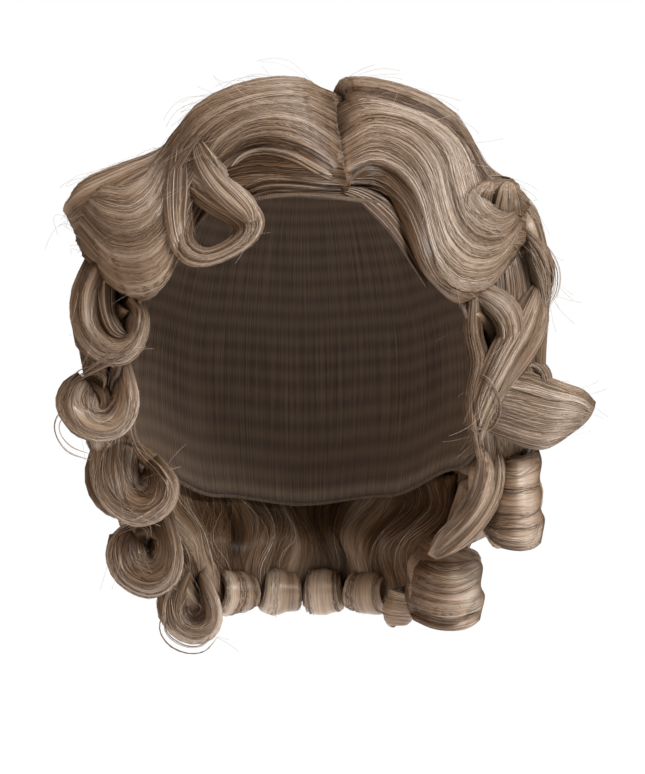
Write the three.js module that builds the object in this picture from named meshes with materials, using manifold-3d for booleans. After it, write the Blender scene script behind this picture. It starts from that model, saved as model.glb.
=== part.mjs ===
// Finger wave wig: a sewn cap, hair dressed from a part in flat waves, and ends set in curls.
// Millimetres, +Z up. The face is open towards -Y, and the origin is where the crown of the head
// meets the inside of the cap.
import * as THREE from "three";
import Module from "manifold-3d";

const wasm = await Module();
wasm.setup();

// Head size that the cap is made for, a common average of about 545 mm round
const HEAD_HALF_WIDTH = 75;
const HEAD_HALF_DEPTH = 97;
const CROWN_HEIGHT = 98;
const NAPE_DEPTH = 120;
const CAP_WALL = 1.5;

// Clearances between pieces
const SEAT_GAP = 1.2;
const CUT_GAP = 0.5;
const CUT_TIDY = 0.1;
const STEEPEST_SLANT = 0.4;

// Colours of hair in light, hair in shade, and the cap
const HAIR_LIGHT = 0xa8947d;
const HAIR_MID = 0x92795f;
const HAIR_SHADE = 0x7a5d42;
const CAP_COLOUR = 0x6b5747;
const HAIR_ROUGHNESS = 0.5;

// Mesh fineness
const CAP_SLICES = 36;
const CAP_STACKS = 6;
const WAVE_STEPS = { along: 19, across: 3 };
const BACK_STEPS = { along: 16, across: 5 };
const SIDE_STEPS = { along: 8, across: 3 };
const HAIRLINE_STEPS = { along: 6, across: 1 };
const CURL_STEPS_PER_TURN = 8;
const STEM_STEPS = 2;
const LOCK_STEPS = 9;

// Rounded section of a band of hair, as shares of its half width and half thickness
const BAND_SECTION = [
  { across: -1, depth: 0.45 },
  { across: -0.6, depth: 1 },
  { across: 0.6, depth: 1 },
  { across: 1, depth: 0.45 },
];

// Lower edge of the cap: how far down from the crown it reaches, as an angle, at each bearing.
// A bearing is 0 at the face and 180 at the nape; an angle down is 0 at the crown.
const CAP_EDGE = [
  { bearing: 0, down: 46 },
  { bearing: 32, down: 48 },
  { bearing: 52, down: 68 },
  { bearing: 70, down: 90 },
  { bearing: 90, down: 100 },
  { bearing: 120, down: 108 },
  { bearing: 150, down: 114 },
  { bearing: 180, down: 116 },
];

// Dressed sections. Each row is one fold across the strands, from the roots to the ends, with the
// bearing, the angle down and the lift off the cap at the front edge, the middle and the back edge.
const WAVE_LEFT = [
  { fold: "part", front: [14, 45, 2], middle: [55, 8, 11], back: [170, 19, 8] },
  { fold: "rise", front: [0, 40, 9], middle: [5, 11, 17], back: [-170, 20, 13] },
  { fold: "arch", front: [-20, 35, 13], middle: [-40, 17, 19], back: [-150, 24, 14] },
  { fold: "fall", front: [-34, 43, 13], middle: [-64, 27, 18], back: [-136, 30, 13] },
  { fold: "dip", front: [-38, 53, 10], middle: [-74, 37, 12], back: [-127, 38, 10] },
  { fold: "swing", front: [-40, 64, 8], middle: [-76, 46, 20], back: [-119, 45, 16] },
  { fold: "bowl", front: [-49, 73, 8], middle: [-80, 53, 29], back: [-114, 51, 22] },
  { fold: "turn", front: [-66, 71, 14], middle: [-86, 57, 30], back: [-113, 54, 21] },
  { fold: "lift", front: [-86, 64, 19], middle: [-98, 56, 25], back: [-116, 55, 15] },
  { fold: "tuck", front: [-104, 60, 10], middle: [-111, 56, 13], back: [-119, 52, 8] },
];
const WAVE_RIGHT = [
  { fold: "part", front: [19, 45, 2], middle: [66, 10, 11], back: [163, 19, 8] },
  { fold: "rise", front: [27, 42, 8], middle: [44, 15, 19], back: [157, 21, 13] },
  { fold: "arch", front: [34, 44, 10], middle: [58, 25, 24], back: [147, 24, 16] },
  { fold: "fall", front: [37, 53, 10], middle: [68, 35, 27], back: [137, 30, 17] },
  { fold: "dip", front: [38, 63, 8], middle: [74, 43, 23], back: [127, 38, 14] },
  { fold: "swing", front: [42, 69, 7], middle: [74, 49, 22], back: [119, 45, 16] },
  { fold: "bowl", front: [53, 74, 8], middle: [78, 55, 27], back: [114, 51, 20] },
  { fold: "turn", front: [69, 70, 14], middle: [86, 58, 29], back: [113, 54, 20] },
  { fold: "lift", front: [86, 64, 20], middle: [98, 56, 26], back: [116, 55, 14] },
  { fold: "tuck", front: [104, 60, 10], middle: [111, 56, 13], back: [119, 52, 8] },
];
const WAVE_BACK = [
  { fold: "crown", front: [-179, 22, 6], middle: [-187, 21, 8], back: [-195, 22, 6] },
  { fold: "ridge", front: [-147, 30, 12], middle: [-180, 31, 16], back: [-214, 30, 12] },
  { fold: "dip", front: [-131, 40, 9], middle: [-190, 42, 11], back: [-230, 40, 9] },
  { fold: "ridge", front: [-122.5, 51, 12], middle: [-174, 53, 17], back: [-237.5, 51, 12] },
  { fold: "dip", front: [-121.5, 62, 9], middle: [-186, 64, 11], back: [-238.5, 62, 9] },
  { fold: "ridge", front: [-124, 73, 12], middle: [-174, 75, 17], back: [-236, 73, 12] },
  { fold: "dip", front: [-126, 85, 9], middle: [-186, 86, 11], back: [-234, 85, 9] },
  { fold: "ridge", front: [-127, 96, 11], middle: [-174, 97, 15], back: [-233, 96, 11] },
  { fold: "edge", front: [-129, 106, 8], middle: [-182, 108, 10], back: [-231, 106, 8] },
];
const SIDE_LEFT = [
  { fold: "root", front: [-60, 75.5, 3], middle: [-88, 67.5, 6], back: [-118.5, 58, 6] },
  { fold: "ridge", front: [-68, 80, 5], middle: [-93, 76, 12], back: [-120, 68, 12] },
  { fold: "fall", front: [-74, 87, 6], middle: [-97, 85, 10], back: [-121.5, 78, 10] },
  { fold: "dip", front: [-78, 94, 5], middle: [-100, 93, 7], back: [-123, 88, 7] },
  { fold: "ridge", front: [-82, 101, 5], middle: [-103, 101, 11], back: [-124.5, 98, 11] },
  { fold: "edge", front: [-86, 108, 3], middle: [-106, 109, 6], back: [-126, 107, 6] },
];
const SIDE_RIGHT = [
  { fold: "root", front: [60, 76.5, 3], middle: [88, 67.5, 8], back: [118.5, 58, 6] },
  { fold: "ridge", front: [68, 80, 5], middle: [93, 76, 15], back: [120, 68, 12] },
  { fold: "fall", front: [74, 87, 6], middle: [97, 85, 13], back: [121.5, 78, 10] },
  { fold: "dip", front: [78, 94, 5], middle: [100, 93, 9], back: [123, 88, 7] },
  { fold: "ridge", front: [82, 101, 5], middle: [103, 101, 12], back: [124.5, 98, 11] },
  { fold: "edge", front: [86, 108, 3], middle: [106, 109, 6], back: [126, 107, 6] },
];
const HAIRLINE = [
  { fold: "right end", front: [18, 46, 2.4], middle: [18, 42, 3], back: [18, 38, 3] },
  { fold: "middle", front: [-4, 46, 2.4], middle: [-4, 40, 3], back: [-4, 33, 3] },
  { fold: "hollow", front: [-22, 46, 2.4], middle: [-22, 39, 3], back: [-22, 32, 3] },
  { fold: "left end", front: [-40, 48, 2.4], middle: [-40, 44, 3], back: [-40, 40, 3] },
];
const SHEET_EDGE_ROUND = 0.16;
const SHEET_EDGE_PLACE = 0.3;
const SHEET_EDGE_THICK = 1.4;

// Wound curls. Hair leaves the root, meets the coil at a tangent and winds about its axis, inwards.
// An axis bearing of 0 points at the viewer and 90 to +X; a tilt of 90 points up. Cone narrows the
// coil towards the axis tip, and belly rounds it off at both ends.
const NEAREST_ROOT = 1.01;
const CURLS = [
  { name: "forehead_curl", root: [-46, -66, -27], centre: [-31.5, -75.5, -45], bearing: -25, tilt: 22,
    radius: 12, half: 3.2, wall: 7, turns: 0.93, hand: -1, pitch: 0.6, rootHalf: 1, cone: 0, belly: 0 },
  { name: "temple_curl_left", root: [-66, -46, -66], centre: [-77, -40, -79], bearing: -15, tilt: 5,
    radius: 12, half: 11, wall: 5, turns: 1.3, hand: -1, pitch: 5.8, rootHalf: 0.7, cone: 0.15, belly: 0.1 },
  { name: "ear_curl_left", root: [-72, -24, -95], centre: [-83, -24, -109], bearing: -18, tilt: 0,
    radius: 12.5, half: 12, wall: 5, turns: 1.3, hand: -1, pitch: 5.8, rootHalf: 0.7, cone: 0.15, belly: 0.1 },
  { name: "cheek_curl_left", root: [-77, 4, -116], centre: [-70, 7, -138], bearing: -18, tilt: 0,
    radius: 15.5, half: 13, wall: 5.5, turns: 1.5, hand: 1, pitch: 6.3, rootHalf: 0.7, cone: 0.15, belly: 0.1 },
  { name: "low_curl_left", root: [-72, 26, -148], centre: [-64, 24, -169], bearing: -18, tilt: 0,
    radius: 13.5, half: 13, wall: 5, turns: 1.4, hand: 1, pitch: 5.8, rootHalf: 0.7, cone: 0.15, belly: 0.1 },
  { name: "nape_curl_left", root: [-54, 50, -176], centre: [-47, 47, -192], bearing: -15, tilt: 0,
    radius: 11, half: 11, wall: 4.5, turns: 1.3, hand: 1, pitch: 5.3, rootHalf: 0.7, cone: 0.15, belly: 0.1 },
  { name: "crest_curl_right", root: [66, -42, -31], centre: [75, -31, -28], bearing: 25, tilt: 72,
    radius: 8, half: 8, wall: 3.5, turns: 1.3, hand: 1, pitch: 4.3, rootHalf: 0.8, cone: 0, belly: 0.1 },
  { name: "temple_swirl_right", root: [66, -48, -66], centre: [75, -39, -77], bearing: 25, tilt: 0,
    radius: 10.5, half: 10, wall: 4.5, turns: 1.3, hand: 1, pitch: 5.3, rootHalf: 0.7, cone: 0.2, belly: 0.1 },
  { name: "nest_curl_right", root: [80, -26, -90], centre: [88, -22, -101], bearing: 25, tilt: 0,
    radius: 9.5, half: 11, wall: 4, turns: 1.2, hand: 1, pitch: 4.8, rootHalf: 0.7, cone: 0.2, belly: 0.1 },
  { name: "wing_curl_right", root: [72, -32, -113], centre: [103, -15, -115], bearing: 90, tilt: 50,
    radius: 7.5, half: 15, wall: 4, turns: 1.1, hand: -1, pitch: 4.8, rootHalf: 0.9, cone: 0, belly: 0.1 },
  { name: "barrel_upper_right", root: [69, 14, -140], centre: [84.5, 6, -147], bearing: 90, tilt: 86,
    radius: 10.5, half: 19.5, wall: 4, turns: 1.5, hand: 1, pitch: 4.8, rootHalf: 0.7, cone: 0, belly: 0.12 },
  { name: "barrel_lower_right", root: [46, 50, -174], centre: [59, 36, -181], bearing: 90, tilt: 77,
    radius: 13, half: 17, wall: 4.5, turns: 1.5, hand: 1, pitch: 5.3, rootHalf: 0.7, cone: 0, belly: 0.12 },
  { name: "nape_lock_right", root: [44, 62, -188], centre: [41, 53, -193], bearing: 90, tilt: 80,
    radius: 6.5, half: 8, wall: 3.5, turns: 1.2, hand: 1, pitch: 4.3, rootHalf: 0.7, cone: 0, belly: 0.12 },
];

// Loose locks: each row is one section with its centre, half width, thickness and roll in degrees.
const LOCKS = {
  tuft_right: [
    { at: [84, -20, -30], half: 6, thick: 5, roll: 0 },
    { at: [88.5, -18, -36], half: 10, thick: 9, roll: 0 },
    { at: [91.5, -15, -47], half: 12, thick: 10, roll: 0 },
    { at: [93.5, -12, -58], half: 12, thick: 9, roll: 0 },
    { at: [94, -10, -68], half: 10, thick: 8, roll: 0 },
    { at: [92, -10, -78], half: 7, thick: 6, roll: 0 },
  ],
  side_lock_right: [
    { at: [94, -8, -66], half: 8, thick: 6, roll: 0 },
    { at: [92, -14, -73], half: 12, thick: 8, roll: 0 },
    { at: [87, -26, -82], half: 13, thick: 9, roll: 0 },
    { at: [78, -38, -94], half: 12, thick: 9, roll: 0 },
    { at: [71, -42, -108], half: 10, thick: 8, roll: 0 },
    { at: [69, -38, -122], half: 7, thick: 6, roll: 0 },
  ],
  ear_lock_right: [
    { at: [68, -8, -118], half: 6, thick: 5, roll: 0 },
    { at: [73, -6, -134], half: 8, thick: 6, roll: 0 },
    { at: [70, 0, -148], half: 8, thick: 6, roll: 0 },
    { at: [61, 8, -159], half: 8, thick: 6, roll: 0 },
    { at: [53, 14, -167], half: 5, thick: 5, roll: 0 },
  ],
  fall_left: [
    { at: [-70, 34, -140], half: 14, thick: 6, roll: 0 },
    { at: [-68, 37, -150], half: 16, thick: 8, roll: 0 },
    { at: [-63, 42, -163], half: 14, thick: 8, roll: 0 },
    { at: [-56, 48, -176], half: 9, thick: 6, roll: 0 },
  ],
  fall_right: [
    { at: [70, 34, -140], half: 14, thick: 6, roll: 0 },
    { at: [68, 37, -150], half: 16, thick: 8, roll: 0 },
    { at: [63, 42, -163], half: 14, thick: 8, roll: 0 },
    { at: [56, 48, -176], half: 9, thick: 6, roll: 0 },
  ],
};

// Plain curls round the back, turned under in two rows. Each hangs from its root as a flat band and
// rolls about an axis along the head; lean tips that axis to one side and the other by turns.
const BACK_ROWS = [
  { name: "back_curl", bearings: [136, 158, 180, 202, 224],
    rootDown: 107, rootLift: 7, rootHeight: -137, lift: 10, height: -156, lean: 5, radius: 10.5, half: 16.5,
    wall: 4, turns: 1.35, hand: 1, pitch: 4.8, rootHalf: 0.9, cone: 0, belly: 0.12 },
  { name: "nape_curl", bearings: [151, 170.5, 189.5, 209],
    rootDown: 107, rootLift: -7, rootHeight: -147, lift: -14, height: -186, lean: 3, radius: 9.5, half: 10.5,
    wall: 4, turns: 1.35, hand: 1, pitch: 4.8, rootHalf: 0.9, cone: 0, belly: 0.12 },
];

const radians = THREE.MathUtils.degToRad;
const vector = (values) => new THREE.Vector3(...values);
const smoothCurve = (points) => new THREE.CatmullRomCurve3(points, false, "catmullrom", 0.5);

// Unit direction from the head's middle for a bearing and an angle down from the crown.
function direction(bearing, down) {
  const turn = radians(bearing);
  const drop = radians(down);
  return new THREE.Vector3(
    Math.sin(drop) * Math.sin(turn),
    -Math.sin(drop) * Math.cos(turn),
    Math.cos(drop),
  );
}

// Point on the head along a direction, lifted off it along the surface's normal.
function onHead(along, lift) {
  const height = along.z < 0 ? NAPE_DEPTH : CROWN_HEIGHT;
  const axes = new THREE.Vector3(HEAD_HALF_WIDTH, HEAD_HALF_DEPTH, height);
  const point = along.clone().multiply(axes);
  const normal = along.clone().divide(axes).normalize();
  point.z -= CROWN_HEIGHT;
  return point.addScaledVector(normal, lift);
}

// Closed solid through rings of points. Each ring runs along its outer side and back along its inner
// side, so that point k lies over point (count - 1 - k), and the two ends are closed between those pairs.
function loft(rings) {
  const count = rings[0].length;
  const last = (rings.length - 1) * count;
  const index = [];
  for (let row = 0; row < rings.length - 1; row += 1) {
    for (let k = 0; k < count; k += 1) {
      const here = row * count + k;
      const next = row * count + ((k + 1) % count);
      index.push(here, next, next + count, here, next + count, here + count);
    }
  }
  for (let k = 0; k < count / 2 - 1; k += 1) {
    const under = count - 1 - k;
    index.push(k + 1, k, under, k + 1, under, under - 1);
    index.push(last + k, last + k + 1, last + under, last + k + 1, last + under - 1, last + under);
  }
  const geometry = new THREE.BufferGeometry().setFromPoints(rings.flat());
  geometry.setIndex(index);
  return geometry;
}

// Solid volume by summing the tetrahedra under each triangle; negative where faces point inwards.
function signedVolume(geometry) {
  const positions = geometry.getAttribute("position");
  const index = geometry.getIndex();
  const corners = [new THREE.Vector3(), new THREE.Vector3(), new THREE.Vector3()];
  let volume = 0;
  for (let start = 0; start < index.count; start += 3) {
    corners.forEach((corner, k) => corner.fromBufferAttribute(positions, index.getX(start + k)));
    volume += corners[0].dot(corners[1].clone().cross(corners[2])) / 6;
  }
  return volume;
}

function facingOut(geometry) {
  if (signedVolume(geometry) > 0) {
    return geometry;
  }
  geometry.setIndex(Array.from(geometry.getIndex().array).reverse());
  return geometry;
}

// Edge of the cap at a bearing, read from the table on both sides alike.
function capEdgeDown(bearing) {
  const side = Math.abs(bearing);
  const row = CAP_EDGE.findIndex((entry) => entry.bearing >= side);
  if (row <= 0) {
    return CAP_EDGE[0].down;
  }
  const before = CAP_EDGE[row - 1];
  const after = CAP_EDGE[row];
  const share = (side - before.bearing) / (after.bearing - before.bearing);
  return THREE.MathUtils.lerp(before.down, after.down, THREE.MathUtils.smoothstep(share, 0, 1));
}

// The cap is a thin dome: rings go down its outside to the edge and back up its inside.
function makeCap() {
  const lines = [];
  for (let stack = 1; stack <= 2 * CAP_STACKS; stack += 1) {
    const outside = stack <= CAP_STACKS;
    const share = (outside ? stack : 2 * CAP_STACKS + 1 - stack) / CAP_STACKS;
    const line = [];
    for (let slice = 0; slice < CAP_SLICES; slice += 1) {
      const bearing = -180 + (360 * slice) / CAP_SLICES;
      line.push(onHead(direction(bearing, share * capEdgeDown(bearing)), outside ? CAP_WALL : 0));
    }
    lines.push(line);
  }
  const points = lines.flat();
  const outerCrown = points.length;
  points.push(new THREE.Vector3(0, 0, CAP_WALL));
  const innerCrown = points.length;
  points.push(new THREE.Vector3(0, 0, 0));
  const index = [];
  const lastLine = (lines.length - 1) * CAP_SLICES;
  for (let slice = 0; slice < CAP_SLICES; slice += 1) {
    const next = (slice + 1) % CAP_SLICES;
    index.push(outerCrown, slice, next);
    index.push(innerCrown, lastLine + next, lastLine + slice);
    for (let row = 0; row < lines.length - 1; row += 1) {
      const here = row * CAP_SLICES;
      const below = here + CAP_SLICES;
      index.push(here + slice, below + slice, below + next, here + slice, below + next, here + next);
    }
  }
  const geometry = new THREE.BufferGeometry().setFromPoints(points);
  geometry.setIndex(index);
  return facingOut(geometry);
}

// A dressed section as a function: along its strands 0 to 1, across them -1 to 1, at its inner or
// outer face.
function sheetSurface(rows) {
  const rails = ["front", "middle", "back"].map((edge) => (
    smoothCurve(rows.map((row) => direction(row[edge][0], row[edge][1])))
  ));
  const lifts = smoothCurve(rows.map((row) => new THREE.Vector3(row.front[2], row.middle[2], row.back[2])));
  return (along, across, outer) => {
    const share = (across + 1) / 2;
    const weights = [(1 - share) * (1 - 2 * share), 4 * share * (1 - share), share * (2 * share - 1)];
    const heading = new THREE.Vector3();
    rails.forEach((rail, k) => heading.addScaledVector(rail.getPoint(along), weights[k]));
    heading.normalize();
    if (!outer) {
      return onHead(heading, CAP_WALL + SEAT_GAP);
    }
    const lift = lifts.getPoint(along);
    const swell = (from, to, part) => from + (to - from) * (1 - Math.cos(Math.PI * part)) / 2;
    const top = share < 0.5 ? swell(lift.x, lift.y, 2 * share) : swell(lift.y, lift.z, 2 * share - 1);
    const inset = Math.min(1, Math.min(share, 1 - share) / SHEET_EDGE_ROUND);
    const rounding = Math.sqrt(Math.max(0, 1 - (1 - inset) ** 2));
    const body = Math.max(0, top - SHEET_EDGE_THICK) * rounding;
    return onHead(heading, CAP_WALL + SEAT_GAP + SHEET_EDGE_THICK + body);
  };
}

// Places across a section, closer together at its rounded edges.
function acrossPlaces(steps) {
  const rim = 2 * SHEET_EDGE_ROUND;
  const places = [-1, -1 + SHEET_EDGE_PLACE * rim];
  for (let step = 0; step <= steps; step += 1) {
    places.push(THREE.MathUtils.lerp(-1 + rim, 1 - rim, step / steps));
  }
  places.push(1 - SHEET_EDGE_PLACE * rim, 1);
  return places;
}

function makeSheet(rows, steps) {
  const surface = sheetSurface(rows);
  const places = acrossPlaces(steps.across);
  const rings = [];
  for (let step = 0; step <= steps.along; step += 1) {
    const along = step / steps.along;
    const outer = places.map((across) => surface(along, across, true));
    const inner = places.map((across) => surface(along, across, false)).reverse();
    rings.push([...outer, ...inner]);
  }
  return facingOut(loft(rings));
}

// Ring of a band: along its rounded outer face and back along its inner one.
function bandRing(pointAt) {
  const outer = BAND_SECTION.map((row) => pointAt(row.across, row.depth));
  const inner = BAND_SECTION.map((row) => pointAt(row.across, -row.depth)).reverse();
  return [...outer, ...inner];
}

// A wound curl: a straight stem from the root to the coil, then the coil, winding inwards.
function makeCurl(curl) {
  const turn = radians(curl.bearing);
  const tilt = radians(curl.tilt);
  const axis = new THREE.Vector3(
    Math.cos(tilt) * Math.sin(turn),
    -Math.cos(tilt) * Math.cos(turn),
    Math.sin(tilt),
  );
  const centre = vector(curl.centre);
  const toRoot = vector(curl.root).sub(centre);
  const shift = toRoot.dot(axis);
  const inPlane = toRoot.clone().addScaledVector(axis, -shift);
  const distance = Math.max(inPlane.length(), curl.radius * NEAREST_ROOT);
  const first = inPlane.clone().normalize();
  const second = axis.clone().cross(first).multiplyScalar(curl.hand);
  const start = Math.acos(curl.radius / distance);
  const stem = Math.sqrt(distance ** 2 - curl.radius ** 2);
  const spoke = (angle) => (
    first.clone().multiplyScalar(Math.cos(angle)).addScaledVector(second, Math.sin(angle))
  );
  const tangent = spoke(start + Math.PI / 2);
  const shape = (across) => (1 - curl.cone * across) * (1 - curl.belly * across ** 2);

  const section = (angle, radius, back, half, slide) => bandRing((across, depth) => (
    centre.clone()
      .addScaledVector(spoke(angle), (radius + (depth * curl.wall) / 2) * shape(across))
      .addScaledVector(tangent, -back)
      .addScaledVector(axis, across * half + slide)
  ));
  const rings = [];
  for (let step = 0; step < STEM_STEPS; step += 1) {
    const share = step / STEM_STEPS;
    const half = curl.half * THREE.MathUtils.lerp(curl.rootHalf, 1, Math.sin((share * Math.PI) / 2));
    rings.push(section(start, curl.radius, stem * (1 - share), half, shift * (1 - share)));
  }
  const steps = Math.round(CURL_STEPS_PER_TURN * curl.turns);
  for (let step = 0; step <= steps; step += 1) {
    const wound = (curl.turns * step) / steps;
    rings.push(section(start + 2 * Math.PI * wound, curl.radius - curl.pitch * wound, 0, curl.half, 0));
  }
  return facingOut(loft(rings));
}

// A loose lock: a rounded band through its sections, lying flat on the head unless it is rolled.
function makeLock(rows) {
  const path = smoothCurve(rows.map((row) => vector(row.at)));
  const sizes = smoothCurve(rows.map((row) => new THREE.Vector3(row.half, row.thick, row.roll)));
  const rings = [];
  for (let step = 0; step <= LOCK_STEPS; step += 1) {
    const share = step / LOCK_STEPS;
    const place = path.getPoint(share);
    const size = sizes.getPoint(share);
    const forward = path.getTangent(share);
    const outward = new THREE.Vector3(
      place.x / HEAD_HALF_WIDTH ** 2,
      place.y / HEAD_HALF_DEPTH ** 2,
      (place.z + CROWN_HEIGHT) / CROWN_HEIGHT ** 2,
    );
    const sideways = forward.clone().cross(outward).normalize().applyAxisAngle(forward, radians(size.z));
    const upward = sideways.clone().cross(forward);
    rings.push(bandRing((across, depth) => (
      place.clone()
        .addScaledVector(sideways, across * size.x)
        .addScaledVector(upward, (depth * size.y) / 2)
    )));
  }
  return facingOut(loft(rings));
}

// Plain curls of the back rows, placed round the head at their bearings.
function backCurls() {
  return BACK_ROWS.flatMap((row) => row.bearings.map((bearing, k) => {
    const outwards = direction(bearing, row.rootDown);
    const spot = (lift, height) => onHead(outwards, CAP_WALL + lift).setZ(height).toArray();
    return {
      ...row,
      name: `${row.name}_${k + 1}`,
      root: spot(row.rootLift, row.rootHeight),
      centre: spot(row.lift, row.height),
      bearing: bearing + 90,
      tilt: k % 2 === 0 ? row.lean : -row.lean,
    };
  }));
}

function toManifold(geometry) {
  return new wasm.Manifold(new wasm.Mesh({
    numProp: 3,
    vertProperties: new Float32Array(geometry.getAttribute("position").array),
    triVerts: new Uint32Array(geometry.getIndex().array),
  }));
}

function toGeometry(solid) {
  const mesh = solid.getMesh();
  const geometry = new THREE.BufferGeometry();
  geometry.setAttribute("position", new THREE.BufferAttribute(new Float32Array(mesh.vertProperties), 3));
  geometry.setIndex(Array.from(mesh.triVerts));
  return geometry;
}

// Unit normals of the faces that meet at each vertex.
function faceNormalsAt(geometry) {
  const positions = geometry.getAttribute("position");
  const index = geometry.getIndex();
  const meeting = Array.from({ length: positions.count }, () => []);
  const corner = (slot) => new THREE.Vector3().fromBufferAttribute(positions, index.getX(slot));
  for (let start = 0; start < index.count; start += 3) {
    const face = new THREE.Triangle(corner(start), corner(start + 1), corner(start + 2));
    const normal = face.getNormal(new THREE.Vector3());
    for (let k = 0; k < 3; k += 1) {
      meeting[index.getX(start + k)].push(normal);
    }
  }
  return meeting;
}

// The same solid, thicker by a clearance: each vertex moves out until the faces at it have cleared.
function swollen(geometry, clearance) {
  const grown = geometry.clone();
  const positions = grown.getAttribute("position");
  faceNormalsAt(geometry).forEach((normals, k) => {
    const outward = normals.reduce((sum, normal) => sum.add(normal), new THREE.Vector3()).normalize();
    const slant = Math.min(...normals.map((normal) => normal.dot(outward)));
    outward.multiplyScalar(clearance / Math.max(slant, STEEPEST_SLANT));
    positions.setXYZ(
      k,
      positions.getX(k) + outward.x,
      positions.getY(k) + outward.y,
      positions.getZ(k) + outward.z,
    );
  });
  return grown;
}

function largestBody(solid) {
  return solid.decompose().sort((one, other) => other.volume() - one.volume())[0];
}

const wig = new THREE.Group();
const seated = [];

// Each piece is cut back from those already in place, so that it lies against them with a small gap.
// The dressed sections are laid clear of the cap, so they are cut by one another only.
function place(name, geometry, colour, clearOf = []) {
  geometry.computeBoundingBox();
  const near = seated.filter((other) => (
    !clearOf.includes(other.name) && other.box.intersectsBox(geometry.boundingBox)
  ));
  let solid = toManifold(geometry);
  near.forEach((other) => {
    solid = solid.subtract(other.solid);
  });
  const shape = near.length > 0 ? toGeometry(largestBody(solid).simplify(CUT_TIDY)) : geometry;
  const grown = swollen(shape, CUT_GAP);
  grown.computeBoundingBox();
  seated.push({ name, solid: toManifold(grown).add(toManifold(shape)), box: grown.boundingBox });
  const material = new THREE.MeshStandardMaterial({ color: colour, roughness: HAIR_ROUGHNESS, metalness: 0 });
  const mesh = new THREE.Mesh(shape, material);
  mesh.name = name;
  wig.add(mesh);
}

place("wig_cap", makeCap(), CAP_COLOUR);
place("wave_left", makeSheet(WAVE_LEFT, WAVE_STEPS), HAIR_LIGHT, ["wig_cap"]);
place("wave_right", makeSheet(WAVE_RIGHT, WAVE_STEPS), HAIR_LIGHT, ["wig_cap"]);
place("hairline_front", makeSheet(HAIRLINE, HAIRLINE_STEPS), HAIR_SHADE, ["wig_cap"]);
place("wave_back", makeSheet(WAVE_BACK, BACK_STEPS), HAIR_MID, ["wig_cap"]);
place("side_left", makeSheet(SIDE_LEFT, SIDE_STEPS), HAIR_MID, ["wig_cap"]);
place("side_right", makeSheet(SIDE_RIGHT, SIDE_STEPS), HAIR_MID, ["wig_cap"]);
CURLS.forEach((curl) => place(curl.name, makeCurl(curl), HAIR_LIGHT));
Object.entries(LOCKS).forEach(([name, rows]) => place(name, makeLock(rows), HAIR_MID));
backCurls().forEach((curl) => place(curl.name, makeCurl(curl), HAIR_MID));

export default wig;
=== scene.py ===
# %% [markdown]
# # A finger wave wig
# A wig of this kind is hair sewn to a cap. The hair is parted at one side, pressed into flat S waves
# while wet, and its ends are wound into curls. The lesson builds each section of hair twice: a satin
# mass that has the section's form, and fine strands that are combed over it.

# %% Load the frame
import math

import bmesh
import bpy
import numpy as np
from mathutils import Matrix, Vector
from mathutils.bvhtree import BVHTree


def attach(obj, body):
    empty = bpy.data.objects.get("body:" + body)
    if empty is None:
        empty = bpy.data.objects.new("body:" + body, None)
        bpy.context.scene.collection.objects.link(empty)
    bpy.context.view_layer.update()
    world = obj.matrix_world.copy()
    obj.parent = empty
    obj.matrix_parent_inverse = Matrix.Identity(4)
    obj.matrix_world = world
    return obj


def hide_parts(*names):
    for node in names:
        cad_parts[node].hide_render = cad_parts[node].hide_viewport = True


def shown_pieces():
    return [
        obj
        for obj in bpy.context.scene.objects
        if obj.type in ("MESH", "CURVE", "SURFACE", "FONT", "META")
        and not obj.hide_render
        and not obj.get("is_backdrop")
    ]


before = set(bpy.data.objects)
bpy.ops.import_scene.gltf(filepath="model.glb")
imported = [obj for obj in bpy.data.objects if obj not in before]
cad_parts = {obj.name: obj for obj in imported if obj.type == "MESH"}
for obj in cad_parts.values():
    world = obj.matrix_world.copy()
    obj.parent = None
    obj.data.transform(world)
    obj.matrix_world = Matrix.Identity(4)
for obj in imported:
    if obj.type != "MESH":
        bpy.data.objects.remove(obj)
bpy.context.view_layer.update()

MM = 0.001
BODY = "root"
SEED = 1920
random = np.random.default_rng(SEED)
print("sections of the frame:", len(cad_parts))

# %% [markdown]
# ## The dome that the cap is made for
# Every section of hair lies on the cap, so one function that gives a point on its dome serves them
# all. A bearing of 0 is the front and 180 the nape; an angle down is 0 at the crown. Lift is how far
# the point stands off the dome. Sizes are in millimetres until a mesh is made.

# %% Points on the dome
HEAD_HALF_WIDTH = 75
HEAD_HALF_DEPTH = 97
CROWN_HEIGHT = 98
NAPE_DEPTH = 120
CAP_WALL = 1.5
SEAT_GAP = 1.2
HEAD_ABOVE = np.array([HEAD_HALF_WIDTH, HEAD_HALF_DEPTH, CROWN_HEIGHT], float)
HEAD_BELOW = np.array([HEAD_HALF_WIDTH, HEAD_HALF_DEPTH, NAPE_DEPTH], float)
HEAD_CENTRE = np.array([0, 0, -CROWN_HEIGHT], float)
LEAST_LENGTH = 1e-9


def unit(vectors):
    length = np.linalg.norm(vectors, axis=-1, keepdims=True)
    return vectors / np.maximum(length, LEAST_LENGTH)


def heading(bearing, down):
    turn = np.radians(bearing)
    drop = np.radians(down)
    return np.stack([np.sin(drop) * np.sin(turn), -np.sin(drop) * np.cos(turn), np.cos(drop)], axis=-1)


def on_head(towards, lift):
    axes = np.where(towards[..., 2:] < 0, HEAD_BELOW, HEAD_ABOVE)
    return towards * axes + HEAD_CENTRE + unit(towards / axes) * np.asarray(lift)[..., None]


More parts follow.
